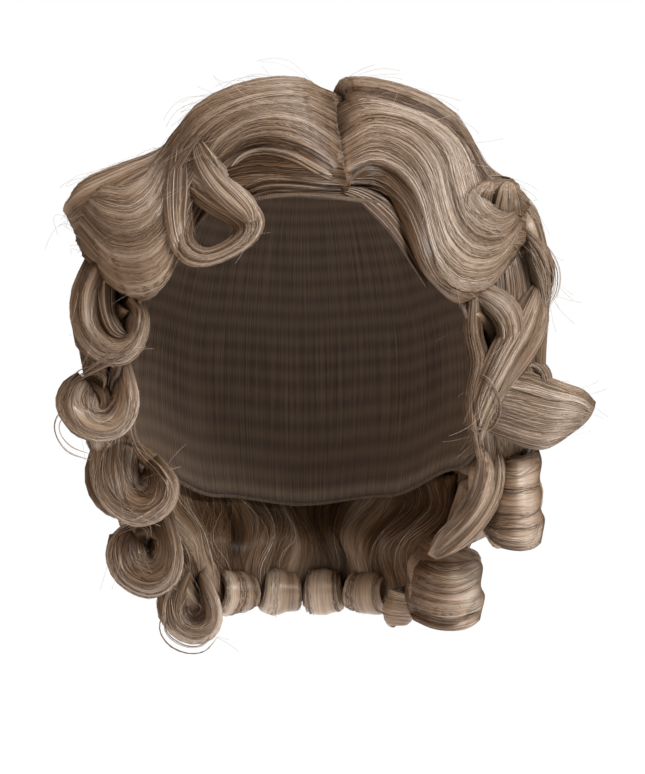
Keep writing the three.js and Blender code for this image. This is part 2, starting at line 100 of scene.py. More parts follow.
def smooth_rows(rows, share):
    """Values between the rows of a table, on a Catmull-Rom curve through all of them."""
    last = len(rows) - 1
    place = np.clip(share, 0, 1) * last
    row = np.minimum(place.astype(int), last - 1)
    part = (place - row)[..., None]
    before = np.where((row == 0)[..., None], 2 * rows[0] - rows[1], rows[np.maximum(row - 1, 0)])
    after = np.where((row == last - 1)[..., None], 2 * rows[last] - rows[last - 1],
                     rows[np.minimum(row + 2, last)])
    here = rows[row]
    there = rows[row + 1]
    bend = 2 * before - 5 * here + 4 * there - after
    twist = 3 * here - before - 3 * there + after
    return here + 0.5 * ((there - before) * part + bend * part ** 2 + twist * part ** 3)


print("crown", on_head(heading(0.0, 0.0), 0.0), "nape", on_head(heading(180.0, 90.0), 0.0))

# %% [markdown]
# ## Dressed sections
# A finger wave is a sheet of hair that swings from side to side as it falls, and rises into a ridge
# at each turn. Each table follows one section from its roots to its ends. A row gives the bearing,
# the angle down and the lift at the section's front edge, its middle and its back edge. The waves
# could be sculpted, but with a table the strands can follow the same numbers as the mass.

# %% Tables of the dressed sections
WAVE_LEFT = [
    ("part", (14, 45, 2), (55, 8, 11), (170, 19, 8)),
    ("rise", (0, 40, 9), (5, 11, 17), (-170, 20, 13)),
    ("arch", (-20, 35, 13), (-40, 17, 19), (-150, 24, 14)),
    ("fall", (-34, 43, 13), (-64, 27, 18), (-136, 30, 13)),
    ("dip", (-38, 53, 10), (-74, 37, 12), (-127, 38, 10)),
    ("swing", (-40, 64, 8), (-76, 46, 20), (-119, 45, 16)),
    ("bowl", (-49, 73, 8), (-80, 53, 29), (-114, 51, 22)),
    ("turn", (-66, 71, 14), (-86, 57, 30), (-113, 54, 21)),
    ("lift", (-86, 64, 19), (-98, 56, 25), (-116, 55, 15)),
    ("tuck", (-104, 60, 10), (-111, 56, 13), (-119, 52, 8)),
]
WAVE_RIGHT = [
    ("part", (19, 45, 2), (66, 10, 11), (163, 19, 8)),
    ("rise", (27, 42, 8), (44, 15, 19), (157, 21, 13)),
    ("arch", (34, 44, 10), (58, 25, 24), (147, 24, 16)),
    ("fall", (37, 53, 10), (68, 35, 27), (137, 30, 17)),
    ("dip", (38, 63, 8), (74, 43, 23), (127, 38, 14)),
    ("swing", (42, 69, 7), (74, 49, 22), (119, 45, 16)),
    ("bowl", (53, 74, 8), (78, 55, 27), (114, 51, 20)),
    ("turn", (69, 70, 14), (86, 58, 29), (113, 54, 20)),
    ("lift", (86, 64, 20), (98, 56, 26), (116, 55, 14)),
    ("tuck", (104, 60, 10), (111, 56, 13), (119, 52, 8)),
]
WAVE_BACK = [
    ("crown", (-179, 22, 6), (-187, 21, 8), (-195, 22, 6)),
    ("ridge", (-147, 30, 12), (-180, 31, 16), (-214, 30, 12)),
    ("dip", (-131, 40, 9), (-190, 42, 11), (-230, 40, 9)),
    ("ridge", (-122.5, 51, 12), (-174, 53, 17), (-237.5, 51, 12)),
    ("dip", (-121.5, 62, 9), (-186, 64, 11), (-238.5, 62, 9)),
    ("ridge", (-124, 73, 12), (-174, 75, 17), (-236, 73, 12)),
    ("dip", (-126, 85, 9), (-186, 86, 11), (-234, 85, 9)),
    ("ridge", (-127, 96, 11), (-174, 97, 15), (-233, 96, 11)),
    ("edge", (-129, 106, 8), (-182, 108, 10), (-231, 106, 8)),
]
SIDE_LEFT = [
    ("root", (-60, 75.5, 3), (-88, 67.5, 6), (-118.5, 58, 6)),
    ("ridge", (-68, 80, 5), (-93, 76, 12), (-120, 68, 12)),
    ("fall", (-74, 87, 6), (-97, 85, 10), (-121.5, 78, 10)),
    ("dip", (-78, 94, 5), (-100, 93, 7), (-123, 88, 7)),
    ("ridge", (-82, 101, 5), (-103, 101, 11), (-124.5, 98, 11)),
    ("edge", (-90, 104, 2), (-106, 109, 6), (-126, 107, 6)),
]
SIDE_RIGHT = [
    ("root", (60, 76.5, 3), (88, 67.5, 8), (118.5, 58, 6)),
    ("ridge", (68, 80, 5), (93, 76, 15), (120, 68, 12)),
    ("fall", (74, 87, 6), (97, 85, 13), (121.5, 78, 10)),
    ("dip", (78, 94, 5), (100, 93, 9), (123, 88, 7)),
    ("ridge", (82, 101, 5), (103, 101, 12), (124.5, 98, 11)),
    ("edge", (90, 104, 2), (106, 109, 6), (126, 107, 6)),
]
HAIRLINE = [
    ("right end", (18, 46, 2.4), (18, 42, 3), (18, 38, 3)),
    ("middle", (-4, 46, 2.4), (-4, 40, 3), (-4, 33, 3)),
    ("hollow", (-22, 46, 2.4), (-22, 39, 3), (-22, 32, 3)),
    ("left end", (-40, 48, 2.4), (-40, 44, 3), (-40, 40, 3)),
]
PART_LINE = [
    ("left bank", (6, 43, 4), (30, 10, 12), (174, 19.5, 10)),
    ("valley", (16.5, 45, 2.5), (60, 9, 12), (166, 19, 9)),
    ("right bank", (24, 42, 3), (80, 13, 13.5), (160, 20, 10)),
]
SEAM_LEFT = [
    ("crown", (178, 19, 7), (-176, 20.5, 9), (-170, 22, 8)),
    ("wave", (-156, 24, 9), (-149, 26.5, 11), (-142, 29, 10)),
    ("wave", (-139, 32, 8), (-134, 34.5, 10), (-128, 37, 9)),
    ("wave", (-117, 46, 8), (-122, 47, 10), (-128, 48, 9)),
    ("side", (-113, 57, 8), (-119, 58, 10), (-126, 59, 9)),
    ("side", (-115, 68, 8), (-120.5, 69, 10), (-127, 70, 9)),
    ("side", (-116, 80, 6), (-122, 81, 8), (-128, 82, 7)),
    ("side", (-118, 92, 7), (-124, 93, 9), (-130, 94, 8)),
    ("edge", (-120, 104, 5), (-126, 105, 6), (-132, 106, 6)),
]


def mirrored(table):
    """The same section on the other side of the wig."""
    return [(name, *((-bearing, down, lift) for bearing, down, lift in spots)) for name, *spots in table]


SEAM_RIGHT = mirrored(SEAM_LEFT)
print("rows of the waves:", len(WAVE_LEFT), len(WAVE_RIGHT), len(WAVE_BACK))

# %% [markdown]
# ## From a table to a sheet
# Every form in this lesson is a function of three numbers: how far along the hair, how far across
# the section, and how deep from the inside to the outside. A sheet is smooth along its rows, bends
# on a parabola across, and its long edges are rounded down to a thin rim.

# %% Sheets
EDGE_ROUND = 0.16
EDGE_THICK = 1.4


def ease(share):
    """A soft step from 0 to 1."""
    return (1 - np.cos(np.pi * np.clip(share, 0, 1))) / 2


def sheet_form(table):
    """A dressed section as a function of along (0 to 1), across (-1 to 1) and depth (-1 to 1)."""
    values = np.array([row[1:] for row in table], float)
    rails = [heading(values[:, edge, 0], values[:, edge, 1]) for edge in range(3)]
    lifts = values[:, :, 2]

    def place(along, across, depth):
        along, across, depth = np.broadcast_arrays(along, across, depth)
        share = (across + 1) / 2
        weights = [(1 - share) * (1 - 2 * share), 4 * share * (1 - share), share * (2 * share - 1)]
        towards = sum(smooth_rows(rail, along) * weight[..., None] for rail, weight in zip(rails, weights))
        lift = smooth_rows(lifts, along)
        front_rise = (lift[..., 1] - lift[..., 0]) * ease(2 * share)
        back_rise = (lift[..., 2] - lift[..., 1]) * ease(2 * share - 1)
        top = lift[..., 0] + front_rise + back_rise
        inset = np.clip(np.minimum(share, 1 - share) / EDGE_ROUND, 0, 1)
        body = EDGE_THICK + np.maximum(top - EDGE_THICK, 0) * np.sqrt(1 - (1 - inset) ** 2)
        return on_head(unit(towards), CAP_WALL + SEAT_GAP + body * (depth + 1) / 2)

    return place


SHEETS = {
    "wave_left": sheet_form(WAVE_LEFT),
    "wave_right": sheet_form(WAVE_RIGHT),
    "wave_back": sheet_form(WAVE_BACK),
    "side_left": sheet_form(SIDE_LEFT),
    "side_right": sheet_form(SIDE_RIGHT),
    "hairline_front": sheet_form(HAIRLINE),
    "part_line": sheet_form(PART_LINE),
    "seam_left": sheet_form(SEAM_LEFT),
    "seam_right": sheet_form(SEAM_RIGHT),
}
print("dressed sections:", ", ".join(SHEETS))

# %% [markdown]
# ## Wound curls
# A curl is a flat band of hair that leaves its root, meets a coil at a tangent and winds inwards, as
# hair does round a finger or a roller. Seen along the axis it is a nest of arcs, and seen from the
# side it is a barrel with the strands running round it. Each row of the table is one curl. The plain
# curls round the back stand in two rows, and the curls of a row share their sizes.

# %% Tables of the curls
CURL_COLUMNS = ("root", "centre", "bearing", "tilt", "radius", "half", "wall", "turns", "hand", "pitch",
                "root_half", "cone", "belly")
CURL_ROWS = {
    "forehead_curl": ((-46, -66, -27), (-31.5, -75.5, -45), -25, 22, 12, 3.2, 7, 0.93, -1, 0.6, 1, 0, 0),
    "temple_curl_left": ((-66, -46, -66), (-77, -40, -79), -15, 5, 12, 11, 5, 1.3, -1, 5.8, 0.7, 0.15, 0.1),
    "ear_curl_left": ((-72, -24, -95), (-83, -24, -109), -18, 0, 12.5, 12, 5, 1.3, -1, 5.8, 0.7, 0.15, 0.1),
    "cheek_curl_left": ((-77, 4, -116), (-70, 7, -138), -18, 0, 15.5, 13, 5.5, 1.5, 1, 6.3, 0.7, 0.15, 0.1),
    "low_curl_left": ((-72, 26, -148), (-64, 24, -169), -18, 0, 13.5, 13, 5, 1.4, 1, 5.8, 0.7, 0.15, 0.1),
    "nape_curl_left": ((-54, 50, -176), (-47, 47, -192), -15, 0, 11, 11, 4.5, 1.3, 1, 5.3, 0.7, 0.15, 0.1),
    "crest_curl_right": ((66, -42, -31), (75, -31, -28), 25, 72, 8, 8, 3.5, 1.3, 1, 4.3, 0.8, 0, 0.1),
    "temple_swirl_right": ((66, -48, -66), (75, -39, -77), 25, 0, 10.5, 10, 4.5, 1.3, 1, 5.3, 0.7, 0.2, 0.1),
    "nest_curl_right": ((80, -26, -90), (88, -22, -101), 25, 0, 9.5, 11, 4, 1.2, 1, 4.8, 0.7, 0.2, 0.1),
    "wing_curl_right": ((72, -32, -113), (103, -15, -115), 90, 50, 7.5, 15, 4, 1.1, -1, 4.8, 0.9, 0, 0.1),
    "barrel_upper_right": ((69, 14, -140), (84.5, 6, -147), 90, 86, 10.5, 19.5, 4, 1.5, 1, 4.8, 0.7, 0, 0.12),
    "barrel_lower_right": ((46, 50, -174), (59, 36, -181), 90, 77, 13, 17, 4.5, 1.5, 1, 5.3, 0.7, 0, 0.12),
    "nape_lock_right": ((44, 62, -188), (41, 53, -193), 90, 80, 6.5, 8, 3.5, 1.2, 1, 4.3, 0.7, 0, 0.12),
}
BACK_ROWS = {
    "back_curl": {"bearings": (136, 158, 180, 202, 224), "root_lift": 7, "root_height": -137, "lift": 10,
                  "height": -156, "lean": 5, "sizes": (10.5, 16.5, 4, 1.35, 1, 4.8, 0.9, 0, 0.12)},
    "nape_curl": {"bearings": (151, 170.5, 189.5, 209), "root_lift": -6, "root_height": -164, "lift": -14,
                  "height": -186, "lean": 3, "sizes": (9.5, 10.5, 4, 1.35, 1, 4.8, 0.9, 0, 0.12)},
}
BACK_DOWN = 107
RIGHT_ANGLE = 90


def back_spot(bearing, lift, height):
    point = on_head(heading(bearing, BACK_DOWN), CAP_WALL + lift)
    return (point[0], point[1], height)


def all_curls():
    rows = dict(CURL_ROWS)
    for row_name, row in BACK_ROWS.items():
        for number, bearing in enumerate(row["bearings"]):
            root = back_spot(bearing, row["root_lift"], row["root_height"])
            centre = back_spot(bearing, row["lift"], row["height"])
            lean = row["lean"] if number % 2 == 0 else -row["lean"]
            rows[f"{row_name}_{number + 1}"] = (root, centre, bearing + RIGHT_ANGLE, lean, *row["sizes"])
    return {name: dict(zip(CURL_COLUMNS, row)) for name, row in rows.items()}


CURL_SIZES = all_curls()
print("curls:", len(CURL_SIZES))

# %% [markdown]
# ## Winding a curl
# A Screw modifier could wind a band, but the strands have to wind with it, so a function does it. The
# stem runs straight from the root until it touches the coil, and the coil is a spiral whose radius
# shrinks by the pitch each turn. Where a curl faces the camera, drawn hair covers its front,
# so only the back half of its band is made, as a backing.

# %% Wound bands
NEAREST_ROOT = 1.01
END_DEPTH = 0.6
END_ROUND = 0.3
END_POWER = 8
BACKING_SKIP = 0.8
FACING_CURLS = ("temple_curl_left", "ear_curl_left", "cheek_curl_left", "low_curl_left", "nape_curl_left",
                "temple_swirl_right", "nest_curl_right")


def curl_axis(curl):
    turn = math.radians(curl["bearing"])
    tilt = math.radians(curl["tilt"])
    return np.array([math.cos(tilt) * math.sin(turn), -math.cos(tilt) * math.cos(turn), math.sin(tilt)])


def curl_form(curl, is_backing):
    """A wound curl as a function of along (0 to 1), across (-1 to 1) and depth (-1 to 1)."""
    axis = curl_axis(curl)
    centre = np.array(curl["centre"], float)
    to_root = np.array(curl["root"], float) - centre
    shift = to_root @ axis
    in_plane = to_root - shift * axis
    distance = max(np.linalg.norm(in_plane), curl["radius"] * NEAREST_ROOT)
    first = unit(in_plane)
    second = np.cross(axis, first) * curl["hand"]
    start = math.acos(curl["radius"] / distance)
    stem = math.sqrt(distance ** 2 - curl["radius"] ** 2)
    tangent = -math.sin(start) * first + math.cos(start) * second
    coil = 2 * math.pi * curl["turns"] * (curl["radius"] - curl["pitch"] * curl["turns"] / 2)
    stem_share = stem / (stem + coil)

    def place(along, across, depth):
        along, across, depth = np.broadcast_arrays(along, across, depth)
        if is_backing:
            skipped = BACKING_SKIP * stem_share
            along = skipped + (1 - skipped) * along
            across = (across - 1) / 2
        on_stem = np.clip(along / stem_share, 0, 1)
        wound = curl["turns"] * np.clip((along - stem_share) / (1 - stem_share), 0, 1)
        angle = start + 2 * math.pi * wound
        spoke = np.cos(angle)[..., None] * first + np.sin(angle)[..., None] * second
        across = across * (1 - END_DEPTH * wound / curl["turns"])
        barrel = (1 - curl["cone"] * across) * (1 - curl["belly"] * across ** 2)
        shape = barrel * (1 - END_ROUND * across ** END_POWER)
        reach = (curl["radius"] - curl["pitch"] * wound + depth * curl["wall"] / 2) * shape
        spread = curl["root_half"] + (1 - curl["root_half"]) * np.sin(on_stem * math.pi / 2)
        sideways = across * curl["half"] * spread + shift * (1 - on_stem)
        back = stem * (1 - on_stem)
        return centre + spoke * reach[..., None] - tangent * back[..., None] + axis * sideways[..., None]

    return place


CURLS = {name: curl_form(curl, name in FACING_CURLS) for name, curl in CURL_SIZES.items()}
print("curls that face the camera:", len(FACING_CURLS))

# %% [markdown]
# ## Loose locks
# Between the curls a few locks hang free. Each is a soft band through a handful of sections, whose
# rows give the centre, half the width and the thickness. It is narrow at its root and at its tip.

# %% Locks
LOCK_ROWS = {
    "tuft_right": [(84, -20, -30, 6, 5), (88.5, -18, -36, 10, 9), (91.5, -15, -47, 12, 10),
                   (93.5, -12, -58, 12, 9), (94, -10, -68, 10, 8), (92, -10, -78, 7, 6)],
    "side_lock_right": [(94, -8, -66, 8, 6), (92, -14, -73, 12, 8), (87, -26, -82, 13, 9),
                        (78, -38, -94, 12, 9), (71, -42, -108, 10, 8), (69, -38, -122, 7, 6)],
    "ear_lock_right": [(68, -8, -118, 6, 5), (73, -6, -134, 8, 6), (70, 0, -148, 8, 6),
                       (61, 8, -159, 8, 6), (53, 14, -167, 5, 5)],
    "fall_left": [(-70, 34, -140, 14, 6), (-68, 37, -150, 16, 8), (-63, 42, -163, 14, 8),
                  (-56, 48, -176, 9, 6)],
    "fall_right": [(70, 34, -140, 14, 6), (68, 37, -150, 16, 8), (63, 42, -163, 14, 8),
                   (56, 48, -176, 9, 6)],
}
TANGENT_STEP = 0.002
ROOT_WIDTH = 0.3
ROOT_STRETCH = 0.2
TIP_WIDTH = 0.25
TIP_STRETCH = 0.3


def lock_form(rows):
    """A loose lock as a function of along (0 to 1), across (-1 to 1) and depth (-1 to 1)."""
    values = np.array(rows, float)

    def place(along, across, depth):
        along, across, depth = np.broadcast_arrays(along, across, depth)
        sizes = smooth_rows(values, along)
        middle = sizes[..., :3]
        ahead = smooth_rows(values, np.minimum(along + TANGENT_STEP, 1))[..., :3]
        behind = smooth_rows(values, np.maximum(along - TANGENT_STEP, 0))[..., :3]
        forward = unit(ahead - behind)
        outward = (middle - HEAD_CENTRE) / HEAD_ABOVE ** 2
        sideways = unit(np.cross(forward, outward))
        upward = np.cross(sideways, forward)
        root_part = np.minimum(1, ROOT_WIDTH + along / ROOT_STRETCH)
        taper = root_part * np.minimum(1, TIP_WIDTH + (1 - along) / TIP_STRETCH)
        across_part = (across * sizes[..., 3] * taper)[..., None]
        depth_part = (depth * sizes[..., 4] * taper / 2)[..., None]
        return middle + sideways * across_part + upward * depth_part

    return place


LOCKS = {name: lock_form(rows) for name, rows in LOCK_ROWS.items()}
print("locks:", ", ".join(LOCKS))

# %% [markdown]
# ## Curls that face the camera
# Five curls hang at one side of the open front and one at the other, and all turn their open ends to
# the camera. Each is a bowl of nested arcs: the outer strands come round the front, the inner ones
# lie deeper, and both ends tuck back under the curl above. They are drawn as guide lines in the
# camera's picture, in pixels, from the outermost to the innermost. Forward is how far each line
# stands before the curl's own plane.

# %% Guide lines of the bowl curls
RINGS = {
    "temple_bowl": {
        "node": "temple_curl_left", "plane": "temple_curl_left", "forward": (5, 10, 5, -3), "tone": 0.0,
        "lines": [
            [(86, 258), (73, 289), (72, 320), (83, 346), (103, 362), (124, 363), (140, 350), (148, 328),
             (146, 306), (134, 288)],
            [(96, 263), (84, 291), (83, 318), (92, 338), (107, 350), (123, 351), (135, 341), (140, 325),
             (139, 308), (130, 295)],
            [(106, 269), (96, 293), (95, 316), (101, 330), (111, 339), (121, 340), (129, 333), (133, 322),
             (132, 311), (126, 302)],
            [(115, 277), (108, 296), (107, 313), (110, 322), (115, 327), (120, 328), (124, 324), (126, 318),
             (126, 313), (122, 308)],
        ]},
    "ear_bowl": {
        "node": "ear_curl_left", "plane": "ear_curl_left", "forward": (5, 11, 6, 0), "tone": 0.08,
        "lines": [
            [(78, 372), (63, 383), (56, 401), (62, 420), (78, 434), (100, 441), (121, 436), (135, 420),
             (139, 396), (130, 362)],
            [(82, 377), (72, 389), (68, 404), (74, 417), (86, 427), (102, 431), (118, 427), (128, 413),
             (131, 393), (124, 362)],
            [(88, 382), (83, 393), (82, 404), (86, 412), (94, 418), (104, 420), (114, 417), (121, 406),
             (123, 391), (118, 364)],
            [(95, 387), (95, 395), (96, 402), (98, 407), (102, 410), (106, 411), (110, 408), (114, 401),
             (115, 390), (112, 366)],
        ]},
    "cheek_bowl": {
        "node": "cheek_curl_left", "plane": "cheek_curl_left", "forward": (9, 16, 10, 4), "tone": -0.02,
        "lines": [
            [(104, 424), (92, 448), (91, 476), (100, 500), (117, 517), (138, 524), (160, 518), (175, 501),
             (176, 478), (157, 455)],
            [(114, 429), (106, 453), (105, 477), (112, 496), (125, 509), (140, 514), (156, 509), (166, 496),
             (167, 477), (154, 458)],
            [(124, 435), (119, 459), (119, 477), (124, 490), (132, 498), (142, 501), (152, 497), (158, 488),
             (159, 475), (151, 461)],
            [(134, 442), (132, 464), (132, 476), (135, 484), (139, 488), (143, 489), (148, 486), (150, 481),
             (151, 473), (147, 461)],
        ]},
    "low_bowl": {
        "node": "low_curl_left", "plane": "low_curl_left", "forward": (5, 12, 6, 0), "tone": -0.04,
        "lines": [
            [(126, 522), (111, 537), (106, 556), (113, 577), (130, 592), (151, 598), (171, 589), (182, 570),
             (182, 546), (172, 512)],
            [(129, 529), (119, 542), (117, 557), (123, 572), (136, 582), (152, 586), (167, 578), (173, 563),
             (173, 543), (164, 512)],
            [(134, 536), (129, 546), (129, 557), (134, 566), (143, 572), (153, 573), (162, 566), (165, 556),
             (165, 541), (157, 514)],
            [(141, 541), (141, 549), (142, 556), (145, 561), (150, 563), (154, 562), (157, 557), (158, 551),
             (157, 540), (151, 517)],
        ]},
    "nape_bowl": {
        "node": "nape_curl_left", "plane": "nape_curl_left", "forward": (5, 10, 4), "tone": 0.02,
        "lines": [
            [(184, 562), (170, 586), (163, 610), (168, 630), (186, 642), (207, 641), (220, 627), (221, 607),
             (214, 588), (204, 568)],
            [(189, 570), (179, 591), (174, 610), (178, 624), (190, 632), (204, 631), (212, 621), (212, 607),
             (207, 592), (200, 574)],
            [(194, 580), (187, 597), (184, 609), (187, 617), (194, 622), (201, 620), (205, 613), (204, 605),
             (201, 596), (197, 584)],
        ]},
    "nest_bowl": {
        "node": "nest_curl_right", "plane": "nest_curl_right", "forward": (-5, -1, -6), "tone": 0.0,
        "lines": [
            [(512, 362), (534, 357), (550, 369), (552, 389), (540, 406), (520, 409), (505, 398), (502, 381),
             (510, 368), (526, 362)],
            [(515, 369), (532, 365), (543, 373), (545, 388), (536, 400), (521, 402), (510, 394), (508, 382),
             (514, 373), (525, 369)],
            [(520, 377), (531, 374), (537, 379), (538, 387), (532, 394), (523, 395), (517, 390), (515, 383),
             (519, 378), (525, 376)],
        ]},
}
print("bowl curls drawn:", len(RINGS))

# %% [markdown]
# ## Laying the bowls
# A pixel is a ray from the camera, and where the ray meets the curl's plane is the point of the hair.
# One more line, close round the middle, closes the bowl.

# %% Bowl curls
CAMERA_PLACE = Vector((0.0085, -1.5, -0.102))
CAMERA_MM = np.array(CAMERA_PLACE) / MM
MM_PER_PIXEL = 0.395
PICTURE_WIDTH = 645
PICTURE_HEIGHT = 774
LENS_STEP = MM_PER_PIXEL / (-CAMERA_PLACE.y / MM)
START_TUCK = 3
START_STRETCH = 0.2
END_TUCK = 5
END_STRETCH = 0.25
CORE_SHARE = 0.12
CORE_DROP = 3
BACK_SHARE = 0.8


def picture_rays(pixels):
    """Rays that go one millimetre back for each unit of length."""
    sideways = (pixels[..., 0] - PICTURE_WIDTH / 2) * LENS_STEP
    upward = (PICTURE_HEIGHT / 2 - pixels[..., 1]) * LENS_STEP
    return np.stack([sideways, np.ones_like(sideways), upward], axis=-1)


def depth_on_plane(rays, curl, forward):
    """Distance from the camera at which each ray meets a curl's plane, moved forward on its axis."""
    axis = curl_axis(curl)
    level = (np.array(curl["centre"]) - CAMERA_MM) @ axis + forward
    return level / (rays @ axis)


def between_lines(lines, along, between):
    """Pixels on a fan of guide lines, and each line's share in them."""
    weights = smooth_rows(np.eye(len(lines)), np.clip(between, 0, 1))
    pixels = sum(smooth_rows(line, along) * weights[..., number, None] for number, line in enumerate(lines))
    return pixels, weights


def bowl_form(ring):
    """A drawn curl as a function of along (0 to 1), across (-1 to 1) and depth (-1 to 1)."""
    curl = CURL_SIZES[ring["plane"]]
    lines = np.array(ring["lines"], float)
    middle = lines[-1].mean(axis=0)
    lines = np.concatenate([lines, [middle + CORE_SHARE * (lines[-1] - middle)]])
    levels = np.array([*ring["forward"], ring["forward"][-1] - CORE_DROP], float)
    back = min(-curl["half"] * BACK_SHARE, levels.min() - CORE_DROP)

    def place(along, across, depth):
        along, across, depth = np.broadcast_arrays(along, across, depth)
        pixels, weights = between_lines(lines, along, (1 - across) / 2)
        front = weights @ levels
        start_part = np.clip(1 - along / START_STRETCH, 0, 1)
        end_part = np.clip((along - 1 + END_STRETCH) / END_STRETCH, 0, 1)
        tucked = START_TUCK * start_part ** 2 + END_TUCK * end_part ** 2
        forward = back + (front - back) * (depth + 1) / 2 - tucked
        rays = picture_rays(pixels)
        return CAMERA_MM + rays * depth_on_plane(rays, curl, forward)[..., None]

    return place


BOWLS = {name: bowl_form(ring) for name, ring in RINGS.items()}
print("bowl curls:", ", ".join(BOWLS))

# %% [markdown]
# ## Hair colour
# The hair is ash blonde over taupe, and the warm brown at the dark end of its range serves as painted
# shade. One node group turns a tone between 0 and 1 into that range of colours, so the mass and the
# strands always agree. On a strand the tone is the second number of its UV map. On a mass it comes
# from streaks and from a painted shade and light that each point carries.

# %% Hair colour group
UV_NAME = "OFBake"
HAIR_TONES = [
    (0.00, (0.018, 0.008, 0.003)),
    (0.25, (0.098, 0.053, 0.026)),
    (0.50, (0.268, 0.186, 0.126)),
    (0.75, (0.450, 0.357, 0.284)),
    (1.00, (0.680, 0.595, 0.515)),
]
RAMP_MIDDLE = 0.5
ROUGHNESS_SLOPE = -0.12
ROUGHNESS_LEVEL = 0.46


def add_node(tree, kind, **values):
    node = tree.nodes.new(kind)
    for name, value in values.items():
        setattr(node, name, value)
    return node


def math_node(tree, operation, *values):
    node = add_node(tree, "ShaderNodeMath", operation=operation)
    for socket, value in zip(node.inputs, values):
        if isinstance(value, (int, float)):
            socket.default_value = value
        else:
            tree.links.new(value, socket)
    return node.outputs[0]


def make_tone_group():
    group = bpy.data.node_groups.new("hair_tone", "ShaderNodeTree")
    group.interface.new_socket("Tone", in_out="INPUT", socket_type="NodeSocketFloat")
    group.interface.new_socket("Colour", in_out="OUTPUT", socket_type="NodeSocketColor")
    group.interface.new_socket("Roughness", in_out="OUTPUT", socket_type="NodeSocketFloat")
    given = add_node(group, "NodeGroupInput")
    result = add_node(group, "NodeGroupOutput")
    ramp = add_node(group, "ShaderNodeValToRGB")
    elements = ramp.color_ramp.elements
    while len(elements) < len(HAIR_TONES):
        elements.new(RAMP_MIDDLE)
    for element, (position, colour) in zip(elements, HAIR_TONES):
        element.position = position
        element.color = (*colour, 1.0)
    roughness = math_node(group, "MULTIPLY_ADD", given.outputs["Tone"], ROUGHNESS_SLOPE, ROUGHNESS_LEVEL)
    group.links.new(given.outputs["Tone"], ramp.inputs["Fac"])
    group.links.new(ramp.outputs["Color"], result.inputs["Colour"])
    group.links.new(roughness, result.inputs["Roughness"])
    return group


tone_group = make_tone_group()
print("hair tones:", len(HAIR_TONES))

# %% [markdown]
# ## The finish of a strand
# A strand is smooth and glossy along its length, so its finish is mostly colour: a tone of its own
# with the painted light and shade of its section added, which drifts a little from root to tip.

# %% Strand material
SURFACE_IOR = 1.55
HAIR_ROUGHNESS = 0.42
NOISE_DETAIL = 2.0
NOISE_MIDDLE = 0.5
STRAND_NOISE = (4, 300)
STRAND_DRIFT = 0.16


def new_material(name, roughness):
    material = bpy.data.materials.new(name)
    material.use_nodes = True
    shader = material.node_tree.nodes["Principled BSDF"]
    shader.inputs["Roughness"].default_value = roughness
    shader.inputs["IOR"].default_value = SURFACE_IOR
    return material, material.node_tree, shader


def uv_noise(tree, uv, scales):
    """Noise that is stretched along or across the hair by its two scales."""
    mapping = add_node(tree, "ShaderNodeMapping")
    mapping.inputs["Scale"].default_value = (*scales, 1)
    noise = add_node(tree, "ShaderNodeTexNoise", noise_dimensions="2D")
    noise.inputs["Scale"].default_value = 1.0
    noise.inputs["Detail"].default_value = NOISE_DETAIL
    tree.links.new(uv.outputs["UV"], mapping.inputs["Vector"])
    tree.links.new(mapping.outputs["Vector"], noise.inputs["Vector"])
    return noise.outputs["Fac"]


def use_tone(tree, tone, shader):
    group = add_node(tree, "ShaderNodeGroup", node_tree=tone_group)
    tree.links.new(tone, group.inputs["Tone"])
    tree.links.new(group.outputs["Colour"], shader.inputs["Base Color"])
    tree.links.new(group.outputs["Roughness"], shader.inputs["Roughness"])


def uv_parts(tree):
    """The UV map, whole and as separate numbers."""
    uv = add_node(tree, "ShaderNodeUVMap", uv_map=UV_NAME)
    parts = add_node(tree, "ShaderNodeSeparateXYZ")
    tree.links.new(uv.outputs["UV"], parts.inputs["Vector"])
    return uv, parts


def make_strand_material():
    material, tree, shader = new_material("hair_strand", HAIR_ROUGHNESS)
    uv, parts = uv_parts(tree)
    drift = math_node(tree, "SUBTRACT", uv_noise(tree, uv, STRAND_NOISE), NOISE_MIDDLE)
    use_tone(tree, math_node(tree, "MULTIPLY_ADD", drift, STRAND_DRIFT, parts.outputs["Y"]), shader)
    return material


strand_material = make_strand_material()
print("strand finish:", strand_material.name)

# %% [markdown]
# ## The finish of a mass
# The mass shows between the strands, so it is made to look like finer strands of its own. Streaks
# run along it, as bump and as colour, and its gloss is stretched across the hair, as the gloss of
# many round strands side by side is. The shade that each point carries is painted light and shade.
# Satin is the usual finish and sleek has fainter streaks. The third finish is a darker, less glossy
# copy of satin: painted shade for the hair inside the curls and under the waves.

# %% Mass materials
SHADE_NAME = "shade"
SATIN_TONE = 0.46
PAINTED_SHADE_TONE = 0.25
FINE_STREAKS = (5, 900)
BROAD_STREAKS = (3, 130)
FINE_STREAK_TONE = 0.42
BROAD_STREAK_TONE = 0.3
FULL_CONTRAST = 1.0
SLEEK_CONTRAST = 0.4
SATIN_GLOSS = 0.5
PAINTED_SHADE_GLOSS = 0.2
GLOSS_STRETCH = 0.75
QUARTER_TURN = 0.25
STREAK_BUMP = 0.5
STREAK_HEIGHT = 0.0004


def add_bump(tree, height, strength, distance, shader):
    bump = add_node(tree, "ShaderNodeBump")
    bump.inputs["Strength"].default_value = strength
    bump.inputs["Distance"].default_value = distance
    tree.links.new(height, bump.inputs["Height"])
    tree.links.new(bump.outputs["Normal"], shader.inputs["Normal"])


